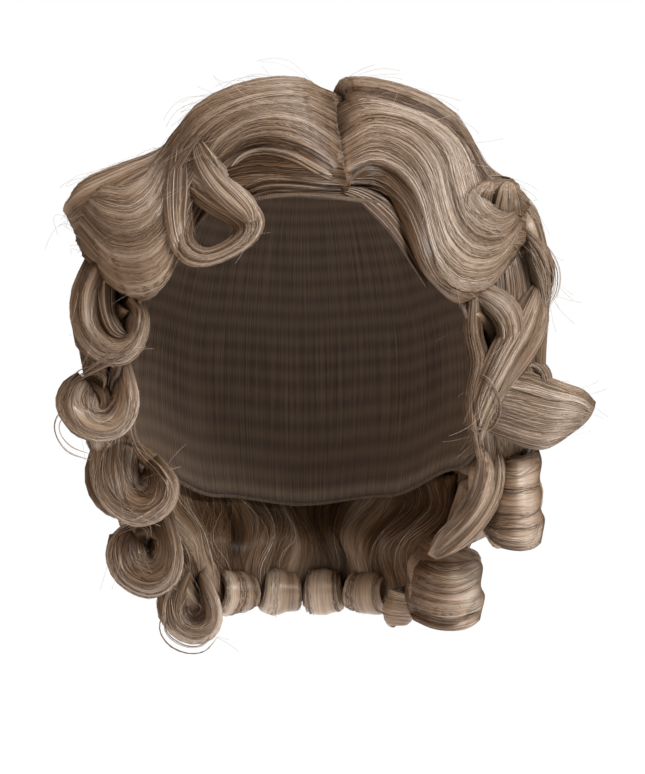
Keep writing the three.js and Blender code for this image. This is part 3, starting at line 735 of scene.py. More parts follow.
def make_mass_material(name, tone, contrast, gloss):
    material, tree, shader = new_material(name, HAIR_ROUGHNESS)
    shader.inputs["Specular IOR Level"].default_value = gloss
    shader.inputs["Anisotropic"].default_value = GLOSS_STRETCH
    shader.inputs["Anisotropic Rotation"].default_value = QUARTER_TURN
    tangent = add_node(tree, "ShaderNodeTangent", direction_type="UV_MAP", uv_map=UV_NAME)
    tree.links.new(tangent.outputs["Tangent"], shader.inputs["Tangent"])
    uv = add_node(tree, "ShaderNodeUVMap", uv_map=UV_NAME)
    shade = add_node(tree, "ShaderNodeAttribute", attribute_name=SHADE_NAME)
    fine = uv_noise(tree, uv, FINE_STREAKS)
    broad = uv_noise(tree, uv, BROAD_STREAKS)
    fine_tone = FINE_STREAK_TONE * contrast
    broad_tone = BROAD_STREAK_TONE * contrast
    fine_change = math_node(tree, "MULTIPLY_ADD", fine, fine_tone, tone - (fine_tone + broad_tone) / 2)
    broad_change = math_node(tree, "MULTIPLY_ADD", broad, broad_tone, shade.outputs["Fac"])
    use_tone(tree, math_node(tree, "ADD", fine_change, broad_change), shader)
    add_bump(tree, fine, STREAK_BUMP, STREAK_HEIGHT, shader)
    return material


satin_material = make_mass_material("hair_satin", SATIN_TONE, FULL_CONTRAST, SATIN_GLOSS)
sleek_material = make_mass_material("hair_sleek", SATIN_TONE, SLEEK_CONTRAST, SATIN_GLOSS)
# A darker, less glossy copy of satin: painted shade for hair under or inside other hair.
painted_shade_material = make_mass_material("hair_painted_shade", PAINTED_SHADE_TONE, FULL_CONTRAST, PAINTED_SHADE_GLOSS)
print("mass finishes:", satin_material.name, sleek_material.name, painted_shade_material.name)

# %% [markdown]
# ## Grooves and rims
# Combed hair parts into locks, so the outer face of every mass has shallow grooves: a few sine waves
# of rising rates, from broad locks to fine ones. A band is rounded at its rims. Outward is away from
# the inner face on a sheet, and away from the core on a band.

# %% Relief and outward directions
SHEET_RATES = (3, 5, 8, 13, 21)
BAND_RATES = (2, 3, 5, 8)
GROOVE_LEAN = 3
BAND_ROUND = 0.78
CORE_ACROSS = 0.9
CORE_DEPTH = 0.5


def grooves(height, rates):
    """A relief in millimetres over along (0 to 1) and around (0 to 1)."""
    starts = random.uniform(0, 2 * np.pi, len(rates))
    leans = random.uniform(-GROOVE_LEAN, GROOVE_LEAN, len(rates))

    def relief(along, around):
        rows = [np.sin(2 * np.pi * rate * around + start + lean * along) / math.sqrt(rate)
                for rate, start, lean in zip(rates, starts, leans)]
        return height * sum(rows)

    return relief


def plain(along, other):
    """No relief, or no shade: zero at every place."""
    return np.zeros(np.broadcast(along, other).shape)


def band_section(share):
    """Across and depth at a share of the way round a rounded band."""
    angle = 2 * np.pi * share
    across = np.sign(np.cos(angle)) * np.abs(np.cos(angle)) ** BAND_ROUND
    depth = np.sign(np.sin(angle)) * np.abs(np.sin(angle)) ** BAND_ROUND
    return across, depth


def sheet_outward(place, along, across):
    return unit(place(along, across, 1.0) - place(along, across, -1.0))


def band_outward(place, along, across, depth, points):
    return unit(points - place(along, across * CORE_ACROSS, depth * CORE_DEPTH))


print("grooves on a sheet:", len(SHEET_RATES), "on a band:", len(BAND_RATES))

# %% [markdown]
# ## The mass of a section
# A sheet's mass is a flat slab that is bent over the dome. A band's mass is a flat grid that is
# rolled up until it meets itself, and closed at its ends. The flat grid gives the UV map for free,
# because it is read before the grid is bent. A search tree of each mass is kept, so that drawn locks
# can be laid on it later.

# %% Bent slabs and rolled grids
UV_PER_MM = 1 / 420
# Grooves are painted darker and ridges lighter by this much for each millimetre of relief, as painted shade
# and light.
GROOVE_PAINTED_SHADE = 0.16
WELD_DISTANCE = 1e-6
HALFWAY = 0.5
GIRTH_STEPS = 60
trees = {}


def link_piece(name, data):
    piece = bpy.data.objects.new(name, data)
    bpy.context.scene.collection.objects.link(piece)
    return piece


def path_length(points):
    return np.linalg.norm(np.diff(points, axis=0), axis=1).sum()


def bend_mass(bm, name, points, spots, shades, material):
    """Moves a flat grid to its place in the hair and makes it a piece."""
    uv = bm.loops.layers.uv.new(UV_NAME)
    shade_layer = bm.verts.layers.float.new(SHADE_NAME)
    bm.verts.ensure_lookup_table()
    for face in bm.faces:
        face.smooth = True
        for loop in face.loops:
            loop[uv].uv = spots[loop.vert.index]
    for vertex, point, shade in zip(bm.verts, points, shades):
        vertex.co = Vector(point * MM)
        vertex[shade_layer] = shade
    bmesh.ops.remove_doubles(bm, verts=bm.verts, dist=WELD_DISTANCE)
    bmesh.ops.holes_fill(bm, edges=[edge for edge in bm.edges if edge.is_boundary], sides=0)
    bmesh.ops.recalc_face_normals(bm, faces=bm.faces)
    trees[name] = BVHTree.FromBMesh(bm)
    mesh = bpy.data.meshes.new(name + "_mass")
    bm.to_mesh(mesh)
    bm.free()
    mesh.materials.append(material)
    return link_piece(name + "_mass", mesh)


def make_slab(name, place, size, relief, shade, material):
    """The mass of a sheet: a flat slab that is bent over the dome."""
    bm = bmesh.new()
    bmesh.ops.create_grid(bm, x_segments=size["along"], y_segments=size["across"], size=1.0)
    raised = bmesh.ops.extrude_face_region(bm, geom=bm.faces[:], use_keep_orig=True)["geom"]
    lifted = [part for part in raised if isinstance(part, bmesh.types.BMVert)]
    bmesh.ops.translate(bm, verts=lifted, vec=(0, 0, 1))
    bm.verts.index_update()
    flat = np.array([vertex.co for vertex in bm.verts])
    along = (flat[:, 0] + 1) / 2
    across = flat[:, 1]
    depth = 2 * flat[:, 2] - 1
    points = place(along, across, depth)
    raise_by = relief(along, (across + 1) / 2) * (depth > 0)
    points = points + sheet_outward(place, along, across) * raise_by[:, None]
    shades = shade(along, across) + GROOVE_PAINTED_SHADE * raise_by
    width = path_length(place(HALFWAY, np.linspace(-1, 1, GIRTH_STEPS), 1.0))
    spots = np.stack([along, (across + 1) / 2 * width * UV_PER_MM], axis=-1)
    return bend_mass(bm, name, points, spots, shades, material)


def make_tube(name, place, section, size, relief, shade, material):
    """The mass of a band: a flat grid that is rolled up and closed at its ends."""
    bm = bmesh.new()
    bmesh.ops.create_grid(bm, x_segments=size["along"], y_segments=size["round"], size=1.0)
    bm.verts.index_update()
    flat = np.array([vertex.co for vertex in bm.verts])
    along = (flat[:, 0] + 1) / 2
    around = (flat[:, 1] + 1) / 2
    across, depth = section(around)
    points = place(along, across, depth)
    raise_by = relief(along, around)
    points = points + band_outward(place, along, across, depth, points) * raise_by[:, None]
    shades = shade(along, across) + GROOVE_PAINTED_SHADE * raise_by
    girth = path_length(place(HALFWAY, *section(np.linspace(0, 1, GIRTH_STEPS))))
    spots = np.stack([along, around * girth * UV_PER_MM], axis=-1)
    return bend_mass(bm, name, points, spots, shades, material)


print("width that fills the UV map, in mm:", round(1 / UV_PER_MM))

# %% [markdown]
# ## Strands
# Strands are thin tubes with three sides, smooth shaded, so that light slides along them as it does
# on hair. Blender's hair curves could make them, but a part is handed on as meshes. Thousands of
# strands are needed, so they are worked out as arrays and become one mesh.

# %% Strands as joined tubes
TUBE_SIDES = 3


def tube_mesh(name, paths, outward, widths, along, tones):
    """One mesh of many tubes. paths is strands by steps by 3, in millimetres."""
    tangent = unit(np.gradient(paths, axis=1))
    side = unit(np.cross(tangent, outward))
    up = np.cross(side, tangent)
    strands, steps, _ = paths.shape
    roll = random.uniform(0, 2 * np.pi, (strands, 1))
    rings = []
    for corner in range(TUBE_SIDES):
        angle = roll - 2 * np.pi * corner / TUBE_SIDES
        reach = side * np.cos(angle)[..., None] + up * np.sin(angle)[..., None]
        rings.append(paths + reach * widths[..., None] / 2)
    points = np.stack(rings, axis=2).reshape(-1, 3) * MM
    index = np.arange(strands * steps * TUBE_SIDES).reshape(strands, steps, TUBE_SIDES)
    beside = np.roll(index, -1, axis=2)
    walls = np.stack([index[:, :-1], beside[:, :-1], beside[:, 1:], index[:, 1:]], axis=-1).reshape(-1, 4)
    ends = np.concatenate([index[:, 0, ::-1], index[:, -1, :]])
    mesh = bpy.data.meshes.new(name)
    mesh.from_pydata(points, [], walls.tolist() + ends.tolist())
    mesh.shade_smooth()
    corners = np.empty(len(mesh.loops), dtype=np.int32)
    mesh.loops.foreach_get("vertex_index", corners)
    spots = np.stack(np.broadcast_arrays(along, tones), axis=-1)
    spots = np.repeat(spots.reshape(-1, 2), TUBE_SIDES, axis=0)
    layer = mesh.uv_layers.new(name=UV_NAME)
    layer.uv.foreach_set("vector", spots[corners].astype(np.float32).ravel())
    mesh.materials.append(strand_material)
    return link_piece(name, mesh)


print("sides of a strand:", TUBE_SIDES)

# %% [markdown]
# ## How strands lie
# Hair clings together, so strands are dealt out to clumps that wander as one, with a little freedom
# for each strand. Each has its own start, end, width, rise and tone. Clumps are dealt evenly, so that
# no part of a section is left bare.

# %% Clumps, lengths, widths and tones
CLUMP_SIZE = 12
FEWEST_CLUMPS = 4
FROM_ROOT_SHARE = 0.6
LATEST_START = 0.3
TO_TIP_SHARE = 0.5
EARLIEST_END = 0.7
STRAND_WIDTH = 0.24
WIDTH_RANGE = (0.6, 1.3)
ROOT_THIN = 0.35
ROOT_GROWTH = 6
TIP_THIN = 0.2
TIP_SHARE = 0.25
SWAY = 0.02
CLUMP_TURNS = (0.5, 1.6)
OWN_TURNS = (0.5, 2.5)
OWN_SWAY = 0.4
RESTING_RISE = 0.22
LEAST_RISE = 0.05
END_RISE = 0.35
RISE_START = 0.1
RISE_SPAN = 0.8
CLUMP_TONE = 0.09
OWN_TONE = 0.14
TONE_RANGE = (0.03, 0.98)


def deal_strands(count, clump_spread):
    """Where each strand lies from 0 to 1, with the number of its clump."""
    clumps = max(FEWEST_CLUMPS, count // CLUMP_SIZE)
    clump = random.integers(0, clumps, count)
    middles = (np.arange(clumps) + random.uniform(0, 1, clumps)) / clumps
    spot = middles[clump] + random.normal(0, clump_spread, count)
    return clumps, clump, spot


def lengths(count, steps):
    """Along-values of strands that start and end at different places."""
    start = np.where(random.random(count) < FROM_ROOT_SHARE, 0, random.uniform(0, LATEST_START, count))
    end = np.where(random.random(count) < TO_TIP_SHARE, 1, random.uniform(EARLIEST_END, 1, count))
    share = np.linspace(0, 1, steps)[None, :]
    return share, start[:, None] + (end - start)[:, None] * share


def strand_widths(share, count):
    thick = STRAND_WIDTH * random.uniform(*WIDTH_RANGE, (count, 1))
    root_part = np.minimum(1, ROOT_THIN + share * ROOT_GROWTH)
    return thick * root_part * np.minimum(1, TIP_THIN + (1 - share) / TIP_SHARE)


def sway_of(along, clumps, clump):
    """A sideways wander that is shared by a clump, with a little of each strand's own."""
    phase = random.uniform(0, 2 * np.pi, clumps)[clump][:, None]
    turns = random.uniform(*CLUMP_TURNS, clumps)[clump][:, None]
    own_phase = random.uniform(0, 2 * np.pi, (len(clump), 1))
    own_turns = random.uniform(*OWN_TURNS, (len(clump), 1))
    shared = np.sin(phase + 2 * np.pi * turns * along)
    own = np.sin(own_phase + 2 * np.pi * own_turns * along)
    return SWAY * (shared + OWN_SWAY * own)


def rises(share, count):
    """How far each strand stands off the mass."""
    rise = np.abs(random.normal(0, RESTING_RISE, (count, 1))) + LEAST_RISE
    arch = np.sin(np.pi * np.clip(share * RISE_SPAN + RISE_START, 0, 1))
    return rise * (END_RISE + (1 - END_RISE) * arch)


def strand_tones(tone, clumps, clump):
    shared = random.normal(0, CLUMP_TONE, clumps)[clump]
    return np.clip(tone + (shared + random.normal(0, OWN_TONE, len(clump)))[:, None], *TONE_RANGE)


print("strand width in mm:", STRAND_WIDTH, "strands in a clump:", CLUMP_SIZE)

# %% [markdown]
# ## Combing
# On a sheet the strands lie on the outer face. On a band they lie all round, most of them on the face
# that shows. Every finished piece hides the solid of the frame that it stands for.

# %% Combing and finishing
SHEET_CLUMP_SPREAD = 0.03
BAND_CLUMP_SPREAD = 0.02


def lay_strands(name, surface, outward, along, share, raise_by, tone, clumps, clump):
    count = len(clump)
    paths = surface + outward * (rises(share, count) + raise_by)[..., None]
    # Strands on a ridge are painted lighter and strands in a groove darker.
    tones = strand_tones(tone + GROOVE_PAINTED_SHADE * raise_by, clumps, clump)
    return tube_mesh(name + "_strands", paths, outward, strand_widths(share, count), along, tones)


def comb_sheet(name, place, size, relief, shade):
    """Strands that run along a sheet, on its outer face."""
    clumps, clump, spot = deal_strands(size["strands"], SHEET_CLUMP_SPREAD)
    share, along = lengths(size["strands"], size["steps"])
    around = np.clip(spot[:, None] + sway_of(along, clumps, clump), 0, 1)
    across = 2 * around - 1
    outward = sheet_outward(place, along, across)
    surface = place(along, across, 1.0)
    tone = size["tone"] + shade(along, across)
    return lay_strands(name, surface, outward, along, share, relief(along, around), tone, clumps, clump)


def comb_band(name, place, size, relief, shade):
    """Strands that run along a band, all round it. Most lie on the face that shows."""
    clumps, clump, spot = deal_strands(size["strands"], BAND_CLUMP_SPREAD)
    share, along = lengths(size["strands"], size["steps"])
    on_front = random.random(clumps)[clump] < size["front"]
    spot = np.where(on_front, (spot % 1) / 2, spot)
    around = (spot[:, None] + sway_of(along, clumps, clump)) % 1
    across, depth = band_section(around)
    surface = place(along, across, depth)
    outward = band_outward(place, along, across, depth, surface)
    tone = size["tone"] + shade(along, across)
    return lay_strands(name, surface, outward, along, share, relief(along, around), tone, clumps, clump)


def triangle_count(piece):
    return len(piece.data.loops) - 2 * len(piece.data.polygons)


def finish_piece(piece, node):
    """Ties a piece to the frame. Gives its triangles."""
    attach(piece, BODY)
    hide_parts(node)
    return triangle_count(piece)


# %% [markdown]
# ## The cap
# The cap is a stretch net dome with the hair sewn on in rows. Only its inside shows, through the open
# front, so it is a plain shell with rows of weft showing through the net and a bound edge. A cut
# sphere could make it, but its edge dips at the sides, so a rolled grid ends on that edge.

# %% Form of the cap
CAP_EDGE = [(0, 46), (32, 48), (52, 68), (70, 90), (90, 100), (120, 108), (150, 114), (180, 116)]
BINDING_RADIUS = 0.9
FULL_TURN = 360


def cap_edge_down(bearing):
    """The angle down of the cap's edge at a bearing, the same on both sides."""
    side = np.abs(bearing)
    stations, downs = np.array(CAP_EDGE, float).T
    row = np.clip(np.searchsorted(stations, side, side="left"), 1, len(stations) - 1)
    part = np.clip((side - stations[row - 1]) / (stations[row] - stations[row - 1]), 0, 1)
    part = part * part * (3 - 2 * part)
    return downs[row - 1] + (downs[row] - downs[row - 1]) * part


def cap_place(along, across, depth):
    """The cap from the crown (across -1) to its edge (across 1), right round (along 0 to 1)."""
    along, across, depth = np.broadcast_arrays(along, across, depth)
    bearing = along * FULL_TURN - FULL_TURN / 2
    down = (across + 1) / 2 * cap_edge_down(bearing)
    return on_head(heading(bearing, down), CAP_WALL * (depth + 1) / 2)


def binding_place(along, across, depth):
    """The bound edge, a cord round the cap's rim."""
    edge = cap_place(along, np.ones_like(along), np.zeros_like(along))
    outward = unit((edge - HEAD_CENTRE) / HEAD_BELOW ** 2)
    ahead = cap_place((along + TANGENT_STEP) % 1, np.ones_like(along), np.zeros_like(along))
    side = unit(np.cross(unit(ahead - edge), outward))
    return edge + BINDING_RADIUS * (outward * depth[..., None] + side * across[..., None])


def shell_section(share):
    """Down the outside of the cap and up the inside."""
    return 1 - np.abs(4 * share - 2), np.where(share < HALFWAY, 1.0, -1.0)


def round_section(share):
    return np.cos(2 * np.pi * share), np.sin(2 * np.pi * share)


print("stations of the cap's edge:", len(CAP_EDGE))

# %% [markdown]
# ## The net
# Weft is hair sewn along a thread, and from inside its rows show as bands across the net. A sine wave
# up the cap makes the rows, and noise stretched along them breaks each row into hairs.

# %% Cap
CAP_SIZE = {"along": 96, "round": 56}
BINDING_SIZE = {"along": 192, "round": 8}
MATT_ROUGHNESS = 0.8
WEFT_ROWS = 150
WEFT_STREAKS = (700, 20)
WEFT_DEPTH = 0.12
WEFT_LEVEL = 0.4
NET_BUMP = 0.6
NET_HEIGHT = 0.001
NET_COLOUR = (0.045, 0.028, 0.018, 1)
WEFT_COLOUR = (0.19, 0.125, 0.082, 1)


def make_cap_material():
    material, tree, shader = new_material("cap_net", MATT_ROUGHNESS)
    uv, parts = uv_parts(tree)
    rows = math_node(tree, "SINE", math_node(tree, "MULTIPLY", parts.outputs["Y"], 2 * math.pi * WEFT_ROWS))
    streaks = math_node(tree, "SUBTRACT", uv_noise(tree, uv, WEFT_STREAKS), NOISE_MIDDLE)
    height = math_node(tree, "ADD", math_node(tree, "MULTIPLY_ADD", rows, WEFT_DEPTH, WEFT_LEVEL), streaks)
    colour = add_node(tree, "ShaderNodeMix", data_type="RGBA")
    colour.inputs["A"].default_value = NET_COLOUR
    colour.inputs["B"].default_value = WEFT_COLOUR
    tree.links.new(height, colour.inputs["Factor"])
    tree.links.new(colour.outputs["Result"], shader.inputs["Base Color"])
    add_bump(tree, height, NET_BUMP, NET_HEIGHT, shader)
    return material


cap_material = make_cap_material()
net = make_tube("wig_cap", cap_place, shell_section, CAP_SIZE, plain, plain, cap_material)
binding = make_tube("cap_binding", binding_place, round_section, BINDING_SIZE, plain, plain, cap_material)
for piece in (net, binding):
    print(piece.name, "triangles:", finish_piece(piece, "wig_cap"))

# %% [markdown]
# ## Dress the sections
# Each section gets a mass and strands, and the counts are set by the area to cover. The part is a
# strip of its own that dips between the two waves, and a seam on each side closes the gap to the
# back. Hair that lies under other hair gets painted shade: the sides, the part and the front edge of
# a wave. The hairline under the waves has a low tone and the darker finish, as painted shade too.

# %% Waves, sides and back
SHEET_COLUMNS = ("along", "across", "groove", "strands", "steps", "tone")
SHEET_ROWS = {
    "wave_left": (40, 70, 0.8, 220, 18, 0.5),
    "wave_right": (40, 70, 0.8, 220, 18, 0.5),
    "wave_back": (36, 80, 0.9, 420, 18, 0.5),
    "side_left": (20, 50, 0.6, 160, 12, 0.42),
    "side_right": (20, 50, 0.6, 160, 12, 0.42),
    "hairline_front": (14, 24, 0.25, 120, 8, 0.2),
    "part_line": (16, 60, 0.5, 160, 8, 0.42),
    "seam_left": (36, 16, 0.4, 70, 18, 0.4),
    "seam_right": (36, 16, 0.4, 70, 18, 0.4),
}
# Pieces with the darker finish: painted shade for hair that lies under, behind or inside other hair.
PAINTED_SHADE_PIECES = ("hairline_front", "outer_fall", "inner_fall", "hairline_left_drawn", "hairline_right_drawn",
               "crest_curl_right", *FACING_CURLS)
SLEEK_PIECES = ("barrel_upper_drawn", "barrel_lower_drawn", "wing_drawn")
PIECE_NODES = {
    "part_line": "wave_left", "seam_left": "wave_back", "seam_right": "wave_back",
    "outer_fall": "wave_back", "inner_fall": "wave_back",
}
SIDE_SHADE = -0.1
PART_SHADE = -0.06
PART_FRONT_SHADE = -0.2
WAVE_EDGE_SHADE = -0.22
WAVE_EDGE_SHARE = 0.5


def finish_of(name):
    if name in PAINTED_SHADE_PIECES:
        return painted_shade_material
    return sleek_material if name in SLEEK_PIECES else satin_material


def dress_sheet(name, place, size, shade):
    """A sheet's mass and its strands. Gives their triangles."""
    node = PIECE_NODES.get(name, size.get("node", name))
    relief = grooves(size["groove"], SHEET_RATES)
    mass = make_slab(name, place, size, relief, shade, finish_of(name))
    strands = comb_sheet(name, place, size, relief, shade)
    return finish_piece(mass, node) + finish_piece(strands, node)


def side_shade(along, across):
    """The sides lie under the waves and curls, so they get painted shade."""
    return SIDE_SHADE + plain(along, across)


def part_shade(along, across):
    """Painted shade on the part, most of all at the front."""
    return PART_SHADE + PART_FRONT_SHADE * np.clip(-across, 0, 1) + plain(along, across)


def wave_shade(along, across):
    """The front edge of a wave turns under, so it gets painted shade."""
    return WAVE_EDGE_SHADE * np.clip(-across / WAVE_EDGE_SHARE, 0, 1) + plain(along, across)


SHEET_SHADES = {
    "part_line": part_shade, "side_left": side_shade, "side_right": side_shade,
    "wave_left": wave_shade, "wave_right": wave_shade,
}
triangles = 0
for name, place in SHEETS.items():
    size = dict(zip(SHEET_COLUMNS, SHEET_ROWS[name]))
    triangles += dress_sheet(name, place, size, SHEET_SHADES.get(name, plain))
print("triangles on the dressed sections:", triangles)

# %% [markdown]
# ## Dress the curls and locks
# On a curl the strands lie all round the band, so that the ends of the coil show nested arcs. A bowl
# curl gets painted shade towards its middle and where its ends tuck under. The backings of the curls
# that face the camera have a low tone and the darker finish, painted shade behind the drawn hair.
# Four curls at the front have no band here, because drawn hair makes them.

# %% Curls and locks
BAND_COLUMNS = ("along", "round", "strands", "steps", "tone", "front", "groove")
BAND_ROWS = {
    "bowl": (40, 40, 220, 18, 0.48, 0.8, 0.6),
    "facing": (32, 20, 30, 16, 0.35, 0, 0.4),
    "behind": (32, 24, 60, 16, 0.42, 0.6, 0.7),
    "barrel": (36, 36, 60, 18, 0.48, 0.6, 0.9),
    "curl": (40, 32, 90, 18, 0.48, 0.6, 0.6),
    "lock": (24, 28, 60, 12, 0.46, 0.5, 0.6),
}
DRAWN_CURLS = ("forehead_curl", "temple_swirl_right", "nest_curl_right", "wing_curl_right")
BOWL_TONE = 0.04
BOWL_MIDDLE_SHADE = 0.26
BOWL_MIDDLE_POWER = 1.5
BOWL_START_SHADE = 0.14
BOWL_END_SHADE = 0.16
BOWL_TUCKED = 0.25


def band_kind(name):
    if name in BOWLS:
        return "bowl"
    if name in LOCKS:
        return "lock"
    if name in FACING_CURLS:
        return "facing"
    if name.startswith("barrel"):
        return "barrel"
    return "behind" if name[-1].isdigit() else "curl"


def bowl_shade(ring):
    """Painted shade: darker towards the middle of a bowl and at both its ends, from a level each ring sets.
    """

    def shade(along, across):
        inward = np.clip((1 - across) / 2, 0, 1)
        start = np.clip(1 - along / BOWL_TUCKED, 0, 1)
        end = np.clip((along - 1 + BOWL_TUCKED) / BOWL_TUCKED, 0, 1)
        lit = BOWL_TONE + ring["tone"] - BOWL_MIDDLE_SHADE * inward ** BOWL_MIDDLE_POWER
        return lit - BOWL_START_SHADE * start - BOWL_END_SHADE * end

    return shade


triangles = 0
for name, place in {**CURLS, **LOCKS, **BOWLS}.items():
    if name in DRAWN_CURLS:
        continue
    size = dict(zip(BAND_COLUMNS, BAND_ROWS[band_kind(name)]))
    node = RINGS[name]["node"] if name in BOWLS else name
    shade = bowl_shade(RINGS[name]) if name in BOWLS else plain
    relief = grooves(size["groove"], BAND_RATES)
    mass = make_tube(name, place, band_section, size, relief, shade, finish_of(name))
    strands = comb_band(name, place, size, relief, shade)
    triangles += finish_piece(mass, node) + finish_piece(strands, node)
print("triangles on the curls and locks:", triangles)

# %% [markdown]
# ## The nape
# Below the cap's edge the back hair falls loose to its curls. Two thin curtains make this fall, one
# behind the upper row of curls and one behind the lower, and they close the view between the curls.
# They swing in waves and their ends are ragged.

# %% Nape fall
FALLS = {
    "outer_fall": {"top": -116, "length": 50, "half_angle": 60, "lifts": (7, 7, 7)},
    "inner_fall": {"top": -138, "length": 52, "half_angle": 57, "lifts": (5, 1, -11, -12, -12)},
}
# The fall's low tone, with the darker finish, is painted shade for hair that hangs behind the curls.
FALL_SIZE = {"along": 24, "across": 60, "groove": 0.9, "strands": 190, "steps": 14, "tone": 0.34}
FALL_THICK = 1.6
FALL_CLOSING = 0.06
SWING_RATE = 2.6 * np.pi
SWING_LAG = 5
SWING_ANGLE = 2.5
RIPPLE = 1.5
RIPPLE_ACROSS = 9
RIPPLE_ALONG = 3
RAGGED_ENDS = [(0.06, 13, 2), (0.04, 31, 0)]


def fall_form(fall):
    """A curtain of hair as a function of along (0 to 1), across (-1 to 1) and depth (-1 to 1)."""
    lifts = np.array(fall["lifts"], float)[:, None]

    def place(along, across, depth):
        along, across, depth = np.broadcast_arrays(along, across, depth)
        swing = np.sin(SWING_RATE * along + SWING_LAG * across)
        spread = fall["half_angle"] * across * (1 - FALL_CLOSING * along)
        bearing = FULL_TURN / 2 + spread + SWING_ANGLE * swing
        ripple = RIPPLE * np.sin(RIPPLE_ACROSS * across + RIPPLE_ALONG * along)
        lift = smooth_rows(lifts, along)[..., 0] + ripple
        down = np.full(along.shape, float(BACK_DOWN))
        point = on_head(heading(bearing, down), CAP_WALL + lift - FALL_THICK * depth)
        ragged = 1
        for amount, rate, start in RAGGED_ENDS:
            ragged = ragged + amount * np.sin(rate * across + start)
        point[..., 2] = fall["top"] - fall["length"] * ragged * along
        return point

    return place


triangles = sum(dress_sheet(name, fall_form(fall), FALL_SIZE, plain) for name, fall in FALLS.items())
print("triangles on the nape fall:", triangles)

# %% [markdown]
# ## Drawn locks
# The swing of the hair is a matter of drawing, so the locks that show from the front are drawn in the
# camera's picture and then laid on the masses behind. A drawing is two or more guide lines of pixels,
# from root to tip, and the hair runs between them. Onto names the masses it lies on; plane and
# forward set it in a curl's plane. Rise and recede move it towards the camera and away from it, in
# millimetres. Tones go from the first line to the last, and shade goes from root to tip. Both paint
# light and shade into the hair's colour: lighter where a lock faces the light, darker where it turns
# under or lies behind other hair. The waves come first: an arch from the part, and then a U.

# %% Guide lines of the waves
DRAWN = {
    "wave_left_drawn": {
        "node": "wave_left", "onto": ("wave_left", "part_line"), "strands": 400, "steps": 20,
        "tones": (0.5, 0.52, 0.53, 0.36),
        "shade": (-0.16, -0.09, -0.04, -0.07, -0.13, -0.26, -0.24, -0.03, 0.03, 0.0, -0.12),
        "rise": (0.5, 1.5, 3, 3, 2, 0, 0, 3, 4, 3, 0.5),
        "lines": [
            [(336, 93), (306, 83), (272, 83), (235, 91), (200, 106), (174, 131), (157, 157), (143, 177),
             (124, 186), (105, 183), (96, 190)],
            [(338, 116), (308, 101), (275, 98), (240, 106), (210, 122), (187, 147), (170, 175), (157, 205),
             (134, 224), (106, 220), (86, 203)],
            [(341, 147), (312, 126), (280, 117), (248, 122), (222, 139), (202, 165), (184, 197), (172, 230),
             (148, 256), (112, 256), (79, 222)],
            [(344, 180), (314, 158), (282, 145), (254, 144), (231, 155), (212, 175), (194, 205), (181, 250),
             (162, 288), (124, 295), (82, 256)],
        ]},
    "arch_drawn": {
        "node": "wave_left", "onto": ("wave_left",), "strands": 110, "steps": 12, "tones": (0.6, 0.4),
        "lines": [
            [(337, 176), (316, 163), (288, 149), (260, 146), (238, 156), (224, 176)],
            [(337, 188), (318, 183), (300, 172), (275, 161), (248, 161), (230, 177)],
        ]},
    "wave_right_drawn": {
        "node": "wave_right", "onto": ("wave_right", "part_line"), "strands": 370, "steps": 18,
        "tones": (0.5, 0.53, 0.55, 0.52),
        "shade": (-0.14, -0.04, 0.0, -0.02, 0.02, 0.1, 0.06, 0.0, -0.05, -0.14),
        "rise": (0.5, 1.5, 2.5, 2, 0.5, 0, 1.5, 3, 2, 0),
        "lines": [
            [(334, 106), (360, 96), (395, 103), (430, 116), (458, 135), (473, 155), (479, 178), (488, 200),
             (503, 212), (519, 207)],
            [(336, 131), (366, 114), (398, 116), (427, 129), (447, 150), (455, 178), (464, 208), (481, 228),
             (503, 231), (522, 214)],
            [(339, 154), (369, 136), (395, 138), (417, 152), (432, 176), (440, 207), (450, 238), (471, 258),
             (500, 255), (522, 226)],
            [(342, 177), (370, 166), (392, 172), (409, 188), (420, 212), (427, 242), (438, 271), (460, 290),
             (490, 287), (516, 255)],
        ]},
    "right_front_drawn": {
        "node": "wave_right", "onto": ("wave_right",), "strands": 130, "steps": 14, "tones": (0.48, 0.28),
        "shade": (-0.2, -0.12, -0.02, 0, 0, 0),
        "lines": [
            [(340, 180), (372, 177), (395, 189), (410, 208), (420, 232), (428, 258), (442, 282),
             (464, 292)],
            [(340, 190), (370, 189), (391, 198), (404, 212), (413, 233), (422, 260), (438, 286),
             (460, 299)],
        ]},
}
print("drawn waves:", len(DRAWN))

# %% [markdown]
# ## The loop at the front
# One lock leaves the wave in a flat open loop. It is drawn in its own plane, and two more layers lead
# the wave's hair into it. A fall of hair covers the root of the highest side curl.

